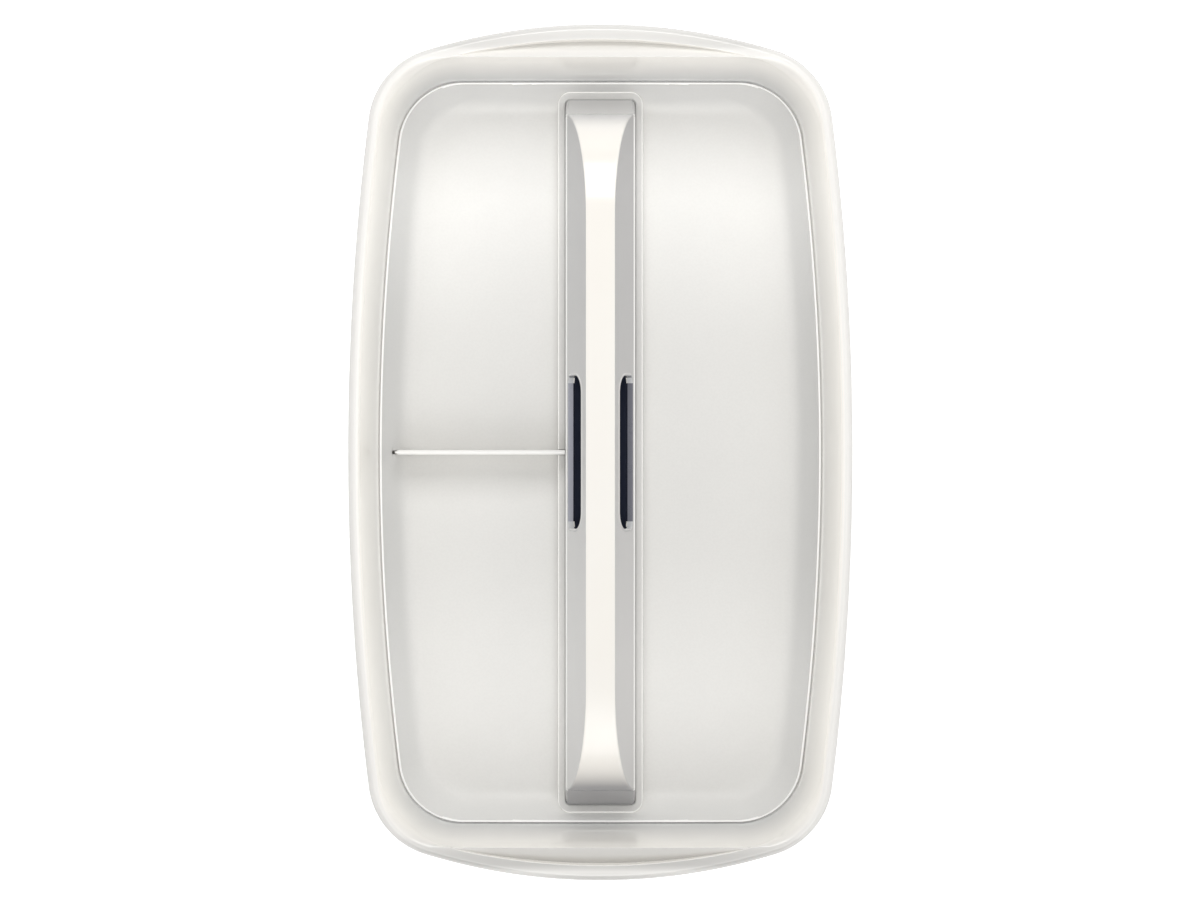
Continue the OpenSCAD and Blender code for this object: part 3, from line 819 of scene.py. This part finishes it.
def handle_solid():
    outer = handle_grid(0.0, middle_r=0.42, flare_r=0.75, foot_r=1.8)
    inner = handle_grid(SKIN_T, middle_r=0.3, flare_r=0.4, foot_r=0.5)
    n, m = outer.shape[:2]
    a0 = len(LOW_Z)
    i0 = int(np.argmax(outer[:, a0, 1] < SLOT_L / 2 + 3.4)) - 1
    window = (i0, n - 1 - i0, a0, a0 + WINDOW_N)
    verts = [outer.reshape(-1, 3), inner.reshape(-1, 3)]
    inner_start = n * m
    faces = handle_faces(outer, window, False)
    faces += [[k + inner_start for k in face] for face in handle_faces(inner, window, True)]
    # the foot joins the two skins round the border of the grid
    border = [(0, a) for a in range(m)] + [(i, m - 1) for i in range(1, n)]
    border += [(n - 1, a) for a in range(m - 2, -1, -1)] + [(i, 0) for i in range(n - 2, 0, -1)]
    foot = [i * m + a for i, a in border]
    for a, b in zip(foot, foot[1:] + foot[:1]):
        faces.append([a, b, b + inner_start, a + inner_start])
    offset = 2 * inner_start
    for side in (-1, 1):
        ring = window_loop(window, m, side)
        count = len(ring)
        ring_index = [i * m + a for i, a in ring]
        outer_yz = np.array([outer[i, a, 1:] for i, a in ring])
        inner_yz = np.array([inner[i, a, 1:] for i, a in ring])
        loops = [ring_index]
        for row in slot_rows(outer_yz, inner_yz, side):
            verts.append(row)
            loops.append([offset + k for k in range(count)])
            offset += count
        loops.append([k + inner_start for k in ring_index])
        for here, there in zip(loops[:-1], loops[1:]):
            for k in range(count):
                k2 = (k + 1) % count
                face = [here[k], here[k2], there[k2], there[k]]
                faces.append(face if side < 0 else face[::-1])
    verts = np.concatenate(verts)
    verts[:, 2] += FLOOR_Z
    return verts, faces


def handle_slot(x, y, z, normal_z):
    """Material slot of a handle face from its centre."""
    plain = PLAIN
    if 16.6 < z < 17.62 and abs(x) > 12.2 and normal_z > 0.2:
        plain = SHOULDER
    if abs(y) > 30 or not 17.0 < z < 35:
        return plain
    sill_z = SLOT_Z - SLOT_H / 2
    sill_half = SLOT_L / 2 - SLOT_FOOT_R
    depth = float(flank_x(z)) - abs(x)
    outset = float(sd_slot(np.array([y, z - SLOT_Z])))
    if abs(outset) < 0.14 and 1.62 < depth < 2.3:
        return DARK
    if outset < 0.45 and depth < 1.63 and z < sill_z + 0.3 and abs(y) < sill_half + 0.1:
        return SILL
    if outset < 0.8 and depth < 1.63 and z < sill_z + SLOT_FOOT_R + 0.4 and abs(y) > sill_half:
        return SLOT_EDGE
    return plain


def build_handle(materials):
    mesh = build_mesh("handle_fine", *handle_solid(), sharp=38)
    # screw bosses reach up to the handle's top; the outer ones stop under the falling end
    boss_edge_y, end_arc_y = 108.2, 85.0
    end_fall = math.sqrt(1 - ((boss_edge_y - end_arc_y) / END_FALL) ** 2)
    boss_top = {43.0: HANDLE_TOP - 1.2,
                104.0: FLOOR_Z + HANDLE_H - END_DROP + (END_DROP - 1.0) * end_fall}
    bosses = [cylinder(y, 4.0, 48, BASE_TOP + 3.3, boss_top[abs(y)]) for y in SCREW_Y]
    mesh = boolean(mesh, bosses, "UNION", sharp=38)
    pilot_top = BASE_Z + SCREW_SEAT + 17.0
    pilots = [cylinder(y, 1.55, 32, BASE_TOP, pilot_top) for y in SCREW_Y]
    mesh = boolean(mesh, pilots, sharp=38)
    add_part("handle_fine", mesh, materials, "handle_shell")
    for face in mesh.polygons:
        x, y, z = (c / MM for c in face.center)
        face.material_index = handle_slot(x, y, z - FLOOR_Z, face.normal.z)


# ---------------------------------------------------------------- divider
def build_divider(materials):
    """Thin panel on the -X side: pointed at the wall, roofed on top, with a tongue in the liner."""
    handle_x, wall_x = -(HANDLE_X + 0.15), -(BORDER_X + 2.3)
    height = DIVIDER_TOP - FLOOR_Z
    half_t = 0.85
    # plan as (x, half thickness) from the handle end to the wall end
    plan = [(handle_x, 0.55), (handle_x - 0.12, 0.75), (handle_x - 0.35, half_t)]
    plan += [(x, half_t) for x in np.linspace(handle_x - 6, wall_x + 6, 12)]
    plan += [(wall_x + 1.15, half_t), (wall_x + 0.75, 0.74), (wall_x + 0.2, 0.36), (wall_x, 0.2)]
    plan = np.array(plan + [(x, -y) for x, y in plan[::-1]])
    # the bottom edge is level, then climbs the border towards the wall
    bottom, wall_bottom, climb_x = 0.12, 2.75, -BORDER_X + 0.2
    climb = bottom + (wall_bottom - bottom) * (climb_x - plan[:, 0]) / (climb_x - wall_x)
    foot_z = np.where(plan[:, 0] < climb_x, climb, bottom)
    # share of the thickness, height
    sections = [(0.86, foot_z), (1.0, foot_z + 0.14)]
    sections += [(1.0, z) for z in (4.0, 7.5, 11.0, 14.5, height - 0.75, height - 0.62)]
    sections += [(0.93, height - 0.5), (0.5, height - 0.24), (0.12, height - 0.02), (0.03, height)]
    verts, faces = loft([at(z, plan * [1, share]) for share, z in sections])
    verts[:, 2] += FLOOR_Z
    mesh = build_mesh("divider_fine", verts, faces)
    root_x = -BORDER_X - 1.35
    # side view of the tongue: x, height
    tongue = np.array([[root_x, 0.5], [wall_x - 1.1, 0.9], [wall_x - 1.3, 1.3],
                       [wall_x - 1.3, 4.6], [wall_x + 0.6, 6.5], [root_x, 4]])
    rows = [np.stack([tongue[:, 0], np.full(len(tongue), y), tongue[:, 1] + FLOOR_Z], 1)
            for y in (-0.45, 0.45)]
    mesh = boolean(mesh, [loft(rows)], "UNION", sharp=28)
    add_part("divider_fine", mesh, materials, "divider_panel", body="divider")


# ---------------------------------------------------------------- foot pads
# section with three ring grooves in the sole: radius, height
FOOT_PROFILE = (
    (0.4, BASE_Z + 1.0), (6.7, BASE_Z + 1.0), (6.95, BASE_Z + 0.85), (6.99, BASE_Z + 0.1),
    (6.98, 0.5), (6.85, 0.2), (6.6, 0.05), (6.3, 0.0), (5.9, 0.0),
    (5.7, 0.06), (5.55, 0.16), (5.3, 0.16), (5.15, 0.06), (4.95, 0.0), (4.2, 0.0),
    (4.05, 0.06), (3.9, 0.16), (3.65, 0.16), (3.5, 0.06), (3.3, 0.0), (2.6, 0.0),
    (2.45, 0.06), (2.3, 0.16), (2.05, 0.16), (1.9, 0.06), (1.7, 0.0), (0.4, 0.0))


def build_feet(materials):
    pads = merge_parts([lathe(FOOT_PROFILE, 72, centre) for centre in FOOT_XY])
    mesh = build_mesh("foot_pads_fine", *pads, sharp=50)
    add_part("foot_pads_fine", mesh, materials, "foot_pads")


# ---------------------------------------------------------------- shader graphs
def srgb(r, g, b):
    def linear(c):
        c /= 255.0
        return c / 12.92 if c <= 0.04045 else ((c + 0.055) / 1.055) ** 2.4
    return (linear(r), linear(g), linear(b), 1.0)


def grey(tone):
    return srgb(tone, tone, tone)


class Graph:
    """Adds nodes to a tree; most methods return the new node's output."""

    def __init__(self, tree):
        self.tree = tree

    def node(self, kind, **settings):
        node = self.tree.nodes.new("ShaderNode" + kind)
        for key, value in settings.items():
            setattr(node, key, value)
        return node

    def feed(self, socket, value):
        """Link an output to the socket, or set its value."""
        if isinstance(value, bpy.types.NodeSocket):
            self.tree.links.new(value, socket)
        else:
            socket.default_value = value

    def math(self, operation, a, b=None, clamp=False):
        node = self.node("Math", operation=operation, use_clamp=clamp)
        self.feed(node.inputs[0], a)
        if b is not None:
            self.feed(node.inputs[1], b)
        return node.outputs[0]

    def vector(self, operation, a, b=None):
        node = self.node("VectorMath", operation=operation)
        self.feed(node.inputs[0], a)
        if b is not None:
            self.feed(node.inputs[1], b)
        return node.outputs

    def split(self, vector):
        node = self.node("SeparateXYZ")
        self.feed(node.inputs[0], vector)
        return node.outputs

    def remap(self, value, from_low, from_high, to_low=0.0, to_high=1.0, ease="LINEAR"):
        node = self.node("MapRange", interpolation_type=ease)
        for i, v in enumerate((value, from_low, from_high, to_low, to_high)):
            self.feed(node.inputs[i], v)
        return node.outputs[0]

    def mix(self, share, a, b, blend="MIX"):
        node = self.node("Mix", data_type="RGBA", blend_type=blend)
        for i, v in ((0, share), (6, a), (7, b)):
            self.feed(node.inputs[i], v)
        return node.outputs[2]

    def multiply(self, a, b):
        return self.mix(1.0, a, b, "MULTIPLY")


class MaterialGraph(Graph):
    def __init__(self, name):
        self.material = bpy.data.materials.new(name)
        self.material.use_nodes = True
        super().__init__(self.material.node_tree)
        self.tree.nodes.clear()
        output = self.node("OutputMaterial")
        self.bsdf = self.node("BsdfPrincipled")
        self.feed(output.inputs["Surface"], self.bsdf.outputs["BSDF"])
        self.coords = self.node("TexCoord").outputs["Object"]

    def position(self):
        return self.split(self.coords)

    def normal(self):
        return self.node("NewGeometry").outputs["Normal"]

    def noise(self, scale, detail, roughness):
        node = self.node("TexNoise")
        settings = {"Scale": scale, "Detail": detail, "Roughness": roughness,
                    "Vector": self.coords}
        for key, value in settings.items():
            self.feed(node.inputs[key], value)
        return node.outputs["Fac"]

    def bump(self, height, distance):
        node = self.node("Bump")
        self.feed(node.inputs["Strength"], 1.0)
        self.feed(node.inputs["Distance"], distance)
        self.feed(node.inputs["Height"], height)
        return node


# colour layers: each takes the graph and the colour so far and returns the new colour
def painted_slope_shade(graph, color, facing_minus_y, facing_plus_y, run=None, sides=None):
    """Painted shade: steep faces take a lighter or darker tone by the way they face, standing in for
    light from +Y.

    run: painted tones of faces towards +X or -X, at the -Y and +Y ends; sides: of faces to -X and +X."""
    facing = graph.split(graph.normal())
    steep = graph.remap(facing["Z"], 0.4, 0.985, 1.0, 0.0, ease="SMOOTHSTEP")
    tone = graph.mix(graph.remap(facing["Y"], -0.7, 0.7), facing_minus_y, facing_plus_y)
    if run:
        across = graph.math("ABSOLUTE", facing["X"])
        along = graph.mix(graph.remap(graph.position()["Y"], -0.075, 0.09), *run)
        tone = graph.multiply(tone, graph.mix(across, (1.0, 1.0, 1.0, 1.0), along))
    if sides:
        tone = graph.multiply(tone, graph.mix(graph.remap(facing["X"], -0.5, 0.5), *sides))
    return graph.mix(steep, color, tone)


def painted_side_shade(graph, color, minus_x, plus_x):
    """Painted shade: different tones on the -X and +X halves."""
    share = graph.remap(graph.position()["X"], -0.004, 0.004)
    return graph.multiply(color, graph.mix(share, minus_x, plus_x))


def painted_end_shade(graph, color, stops):
    """Painted shade and light: level faces take a tone by their place along Y; stops are (y in metres,
    grey tone).
    """
    position, facing = graph.position(), graph.split(graph.normal())
    ramp = graph.node("ValToRGB")
    ramp.color_ramp.interpolation = "EASE"
    elements = ramp.color_ramp.elements
    reach = 0.16
    for i, (y, tone) in enumerate(stops):
        place = (y + reach) / (2 * reach)
        if 0 < i < len(stops) - 1:
            stop = elements.new(place)
        else:
            stop = elements[0 if i == 0 else len(elements) - 1]
            stop.position = place
        stop.color = grey(tone)
    graph.feed(ramp.inputs[0], graph.remap(position["Y"], -reach, reach))
    level = graph.remap(facing["Z"], 0.3, 0.8)
    return graph.mix(level, color, graph.multiply(color, ramp.outputs[0]))


def crease_dust_and_shade(graph, color, amount, reach, tone):
    """The creases, found by ambient occlusion, take the given tone: partly dust, partly painted shade;
    reach is in metres.
    """
    occlusion = graph.node("AmbientOcclusion", samples=8)
    graph.feed(occlusion.inputs["Distance"], reach)
    return graph.mix(graph.remap(occlusion.outputs["AO"], 0.25, 0.95, amount, 0.0), color, tone)


# emission: painted light on a surface that is no lamp
def painted_glow(graph, color, strength):
    graph.feed(graph.bsdf.inputs["Emission Color"], color)
    graph.feed(graph.bsdf.inputs["Emission Strength"], strength)
    return color


def painted_end_light(graph, color, base, lifted):
    """Painted light: brightens from base to lifted towards both ends."""
    far = graph.math("ABSOLUTE", graph.position()["Y"])
    share = graph.remap(far, 0.03, 0.115, ease="SMOOTHSTEP")
    ratio = tuple(v / w for v, w in zip(lifted[:3], base[:3])) + (1.0,)
    return graph.mix(share, color, graph.multiply(color, ratio))


def painted_low_end_shade(graph, color, tone):
    """Painted shade: the inner faces of the end walls are darker towards the liner."""
    position, facing = graph.position(), graph.split(graph.normal())
    low = graph.remap(position["Z"], 0.0135, 0.046, 1.0, 0.0)
    outward = graph.math("MULTIPLY", graph.math("SIGN", position["Y"]), facing["Y"])
    inward = graph.math("MULTIPLY", outward, -1.0, clamp=True)
    return graph.mix(graph.math("MULTIPLY", low, inward), color, tone)


def wall_glow(graph, color, strength):
    """Painted light: emission in place of light through the thin wall, on steep faces that look inward,
    stronger higher up.
    """
    normal, position = graph.normal(), graph.position()
    flat = graph.node("CombineXYZ")
    graph.feed(flat.inputs[0], position["X"])
    graph.feed(flat.inputs[1], position["Y"])
    outward = graph.vector("NORMALIZE", flat.outputs[0])[0]
    facing = graph.vector("DOT_PRODUCT", outward, normal)["Value"]
    inward = graph.remap(facing, -0.6, -0.25, strength, 0.0, ease="SMOOTHSTEP")
    across = graph.math("ABSOLUTE", graph.split(normal)["X"])
    inward = graph.math("MULTIPLY", inward, graph.remap(across, 0.55, 0.98, 0.5, 1.0))
    rising = graph.remap(position["Z"], 0.014, 0.056, 0.35, 2.85)
    painted_glow(graph, graph.multiply(color, srgb(258, 254, 244)),
         graph.math("MULTIPLY", inward, rising))
    return color


def material(name, base, shade, rough, rough_spread, grain, grain_bump, wave, wave_bump,
             mottle=18.0, speck=0.0, layers=(), metallic=0.0, specular=0.5, coat=0.0,
             coat_rough=0.08, sheen=0.0):
    """Moulded material: colour mottle from base to shade, fine grain and slow waves.

    mottle, grain and wave are noise scales; the bump heights are in metres."""
    graph = MaterialGraph(name)
    big = graph.noise(mottle, 3.0, 0.55)
    medium = graph.noise(mottle * 7.0, 4.0, 0.6)
    fine = graph.noise(grain, 3.0, 0.65)
    slow = graph.noise(wave, 2.0, 0.4)
    color = graph.mix(graph.remap(big, 0.3, 0.7), base, shade)
    color = graph.mix(graph.remap(medium, 0.35, 0.65, 0.0, 0.35), color, shade)
    if speck:
        specks = graph.remap(graph.noise(grain * 0.45, 2.0, 0.5), 0.42, 0.6, 0.0, speck)
        color = graph.mix(specks, color, tuple(c * 0.72 for c in base[:3]) + (1.0,))
    for layer in layers:
        color = layer(graph, color)
    patches = graph.remap(medium, 0.3, 0.7, rough - rough_spread, rough + rough_spread)
    grains = graph.remap(fine, 0.3, 0.7, -rough_spread * 0.6, rough_spread * 0.6)
    grain_node, wave_node = graph.bump(fine, grain_bump), graph.bump(slow, wave_bump)
    graph.feed(wave_node.inputs["Normal"], grain_node.outputs["Normal"])
    surface = {"Base Color": color, "Roughness": graph.math("ADD", patches, grains),
               "Metallic": metallic, "Specular IOR Level": specular, "Coat Weight": coat,
               "Coat Roughness": coat_rough, "Sheen Weight": sheen,
               "Normal": wave_node.outputs["Normal"]}
    for key, value in surface.items():
        graph.feed(graph.bsdf.inputs[key], value)
    return graph.material


# ---------------------------------------------------------------- materials
GLOSS = dict(grain=3200.0, grain_bump=0.000004, wave=70.0, coat_rough=0.05)
SLOT_SATIN = dict(rough=0.3, rough_spread=0.05, grain=2600.0, grain_bump=0.00001, wave=120.0,
                  wave_bump=0.00003)
PALE_DUST_AND_SHADE = srgb(206, 204, 200)
GLOSS_DUST_AND_SHADE = partial(crease_dust_and_shade, amount=0.08, reach=0.003, tone=PALE_DUST_AND_SHADE)
LINER_BASE = srgb(228, 227, 224)
# painted shade and light on the shell's level faces along Y: lips and end pockets darker, most at the
# -Y end
SHELL_END_SHADE = (
    (-0.1530, 212), (-0.1505, 252), (-0.1494, 255), (-0.1484, 222), (-0.1472, 216),
    (-0.1460, 218), (-0.1436, 223), (-0.1405, 240), (-0.1360, 255), (0.1410, 255),
    (0.1436, 252), (0.1455, 232), (0.1484, 236), (0.1500, 240), (0.1530, 244))

# the shell carries painted shade and light: darker lips and end pockets, darker lower inner end walls,
# a glow on the inner walls, darker creases
shell_mat = material(
    "shell_gloss_abs", base=srgb(246, 244, 240), shade=srgb(243, 241, 237), rough=0.11,
    rough_spread=0.02, wave_bump=0.00006, coat=0.25, **GLOSS,
    layers=[partial(painted_end_shade, stops=SHELL_END_SHADE), GLOSS_DUST_AND_SHADE,
            partial(painted_low_end_shade, tone=srgb(197, 198, 199)), partial(wall_glow, strength=0.085)])

# painted shade on the handle's steep faces: darker where they face -Y, darker along the flanks towards
# +Y, slightly darker on the +X flank
handle_mat = material(
    "handle_gloss_abs", base=srgb(249, 246, 240), shade=srgb(247, 243, 236), rough=0.18,
    rough_spread=0.03, wave_bump=0.00008, coat=0.3, **GLOSS,
    layers=[partial(painted_slope_shade, facing_minus_y=srgb(179, 179, 182), facing_plus_y=grey(247),
                    run=(srgb(257, 257, 256), srgb(219, 219, 220)),
                    sides=(grey(256), srgb(246, 245, 245))),
            GLOSS_DUST_AND_SHADE])

# painted shade on the liner's steep faces, darkest where they face -Y, and painted light on the floor
# towards both ends
liner_mat = material(
    "liner_matt_abs", base=LINER_BASE, shade=srgb(225, 224, 221), rough=0.5, rough_spread=0.06,
    grain=2400.0, grain_bump=0.00002, wave=60.0, wave_bump=0.00006, speck=0.06,
    layers=[partial(painted_slope_shade, facing_minus_y=srgb(194, 194, 193),
                    facing_plus_y=srgb(214, 214, 212)),
            partial(crease_dust_and_shade, amount=0.12, reach=0.004, tone=srgb(196, 195, 192)),
            partial(painted_end_light, base=LINER_BASE, lifted=srgb(246, 245, 242))])

# collar edge and rim of the liner: lighter colour and a glow, a painted highlight line
liner_edge_mat = material(
    "liner_edge_painted_highlight", base=srgb(252, 251, 249), shade=srgb(250, 249, 246), rough=0.25,
    rough_spread=0.04, grain=2400.0, grain_bump=0.00001, wave=60.0, wave_bump=0.00004,
    coat=0.2, coat_rough=0.1, layers=[partial(painted_glow, strength=0.24)])

# shoulder line of the handle: a glow, a painted highlight line
handle_edge_mat = material(
    "handle_edge_painted_highlight", base=srgb(246, 246, 245), shade=srgb(243, 243, 241), rough=0.16,
    rough_spread=0.03, wave_bump=0.00004, coat=0.3, **GLOSS,
    layers=[partial(painted_glow, strength=0.05)])

# rounded ends of the finger slot: grey painted shade, darkest where they face -Y
slot_edge_mat = material(
    "slot_edge_painted_shade", base=srgb(206, 207, 208), shade=srgb(200, 201, 203), **SLOT_SATIN,
    layers=[partial(painted_slope_shade, facing_minus_y=srgb(138, 140, 144),
                    facing_plus_y=srgb(214, 215, 216))])

divider_mat = material(
    "divider_satin_abs", base=srgb(251, 250, 247), shade=srgb(248, 247, 244), rough=0.34,
    rough_spread=0.05, grain=2800.0, grain_bump=0.00001, wave=90.0, wave_bump=0.00005,
    layers=[partial(crease_dust_and_shade, amount=0.06, reach=0.003, tone=PALE_DUST_AND_SHADE)])

# sill of the finger slot: grey painted shade, lighter on the -X side than on +X
sill_mat = material(
    "slot_sill_painted_shade", base=srgb(136, 137, 145), shade=srgb(124, 125, 134), specular=0.4,
    layers=[partial(painted_side_shade, minus_x=srgb(322, 322, 320), plus_x=srgb(228, 228, 230))],
    **SLOT_SATIN)

grip_mat = material(
    "grip_soft_touch", base=srgb(15, 23, 44), shade=srgb(11, 18, 36), rough=0.7,
    rough_spread=0.08, grain=1800.0, grain_bump=0.00008, wave=220.0, wave_bump=0.00003,
    specular=0.22, speck=0.3, sheen=0.04)

pad_mat = material(
    "pad_rubber_grey", base=srgb(74, 76, 80), shade=srgb(60, 62, 66), rough=0.78,
    rough_spread=0.07, grain=1500.0, grain_bump=0.00008, wave=240.0, wave_bump=0.00004,
    specular=0.3, speck=0.35,
    layers=[partial(crease_dust_and_shade, amount=0.3, reach=0.002, tone=srgb(120, 118, 112))])

screw_mat = material(
    "screw_zinc_steel", base=srgb(176, 178, 182), shade=srgb(150, 153, 160), rough=0.34,
    rough_spread=0.1, mottle=300.0, grain=5200.0, grain_bump=0.00001, wave=900.0,
    wave_bump=0.00001, metallic=1.0,
    layers=[partial(crease_dust_and_shade, amount=0.35, reach=0.0015, tone=srgb(70, 66, 60))])

# ---------------------------------------------------------------- build
build_shell([shell_mat])
build_liner([liner_mat, liner_edge_mat])
build_handle([handle_mat, sill_mat, grip_mat, slot_edge_mat, handle_edge_mat])
build_divider([divider_mat])
build_feet([pad_mat])

# pieces kept from the frame: material and a rounding of their edges, mm
for node_name, node_mat, edge_width in (("grip_sleeve", grip_mat, 0.45),
                                        ("handle_screws", screw_mat, 0.08)):
    piece = frame["nodes"][node_name]
    piece.data.materials.clear()
    piece.data.materials.append(node_mat)
    bevel = piece.modifiers.new("edges", "BEVEL")
    bevel.width, bevel.segments = edge_width * MM, 3
    bevel.limit_method, bevel.angle_limit = "ANGLE", math.radians(35)


# ---------------------------------------------------------------- stage, light, camera (metres)
scene = bpy.context.scene


def stage_material():
    """Pale diffuse floor that looks brighter to the camera than it lights the tray."""
    stage = bpy.data.materials.new("stage_pale")
    stage.use_nodes = True
    stage.node_tree.nodes.clear()
    graph = Graph(stage.node_tree)
    diffuse, emission = graph.node("BsdfDiffuse"), graph.node("Emission")
    graph.feed(diffuse.inputs["Color"], (0.9, 0.9, 0.9, 1))
    graph.feed(emission.inputs["Color"], (1, 1, 1, 1))
    camera_ray = graph.node("LightPath").outputs["Is Camera Ray"]
    graph.feed(emission.inputs["Strength"], graph.math("MULTIPLY", camera_ray, 0.5))
    both = graph.node("AddShader")
    graph.feed(both.inputs[0], diffuse.outputs[0])
    graph.feed(both.inputs[1], emission.outputs[0])
    graph.feed(graph.node("OutputMaterial").inputs["Surface"], both.outputs[0])
    return stage


def add_floor(half_size=4.0, z=-0.00002):
    corners = [(sx * half_size, sy * half_size, z) for sx, sy in ((-1, -1), (1, -1), (1, 1), (-1, 1))]
    mesh = bpy.data.meshes.new("floor_plane")
    mesh.from_pydata(corners, [], [(0, 1, 2, 3)])
    mesh.materials.append(stage_material())
    floor = bpy.data.objects.new("floor_plane", mesh)
    scene.collection.objects.link(floor)


# soft boxes in the sky: azimuth from +X and elevation in degrees, sharpness, strength
SKY = (
    (0, 90, 12.0, 0.05),
    (270, 50, 10.0, 2.72), (180, 50, 10.0, 0.74), (0, 50, 10.0, 0.95),
    (90, 14, 8.0, 0.68), (270, 14, 8.0, 0.14), (180, 14, 8.0, 0.85), (0, 14, 8.0, 1.0))


def add_world():
    """The soft boxes light the tray; the camera sees plain white."""
    world = bpy.data.worlds.new("studio")
    scene.world = world
    world.use_nodes = True
    graph = Graph(world.node_tree)
    background = world.node_tree.nodes["Background"]
    background.inputs["Color"].default_value = (1.0, 1.0, 1.0, 1.0)
    direction = graph.node("TexCoord").outputs["Generated"]
    total = None
    for azimuth, elevation, sharpness, strength in SKY:
        az, el = math.radians(azimuth), math.radians(elevation)
        axis = (math.cos(az) * math.cos(el), math.sin(az) * math.cos(el), math.sin(el))
        box = graph.vector("DOT_PRODUCT", direction, axis)["Value"]
        box = graph.math("MAXIMUM", box, 0.0)
        box = graph.math("POWER", box, sharpness)
        box = graph.math("MULTIPLY", box, strength)
        total = box if total is None else graph.math("ADD", total, box)
    choice = graph.node("Mix", data_type="FLOAT")
    graph.feed(choice.inputs[0], graph.node("LightPath").outputs["Is Camera Ray"])
    graph.feed(choice.inputs[2], total)
    graph.feed(choice.inputs[3], 1.0)
    graph.feed(background.inputs["Strength"], choice.outputs[0])


def add_key_light():
    """Area light above the +Y end, aimed at the origin."""
    data = bpy.data.lights.new("key_back", "AREA")
    data.shape, data.size, data.size_y = "RECTANGLE", 0.7, 0.4
    data.energy, data.color = 3.76, (1.0, 1.0, 1.0)
    light = bpy.data.objects.new("key_back", data)
    scene.collection.objects.link(light)
    light.location = (0.0, 0.55, 0.8)
    aim = Vector((0, 0, 0)) - Vector((0.0, 0.55, 0.8))
    light.rotation_euler = aim.to_track_quat("-Z", "Y").to_euler()


def add_camera():
    """Looks straight down on the tray."""
    data = bpy.data.cameras.new("camera")
    data.sensor_width, data.lens = 36.0, 75.93
    data.shift_x, data.shift_y = -0.00033333, 0.0019167
    data.clip_start, data.clip_end = 0.01, 20.0
    camera = bpy.data.objects.new("camera", data)
    scene.collection.objects.link(camera)
    height_over_floor = 0.957
    camera.location = (0.0, 0.0, FLOOR_Z * MM + height_over_floor)
    camera.rotation_euler = (0.0, 0.0, 0.0)
    scene.camera = camera


add_floor()
add_world()
add_key_light()
add_camera()
view = scene.view_settings
view.view_transform, view.look = "Standard", "None"
view.exposure, view.gamma = 0.0, 1.0

bpy.context.view_layer.update()
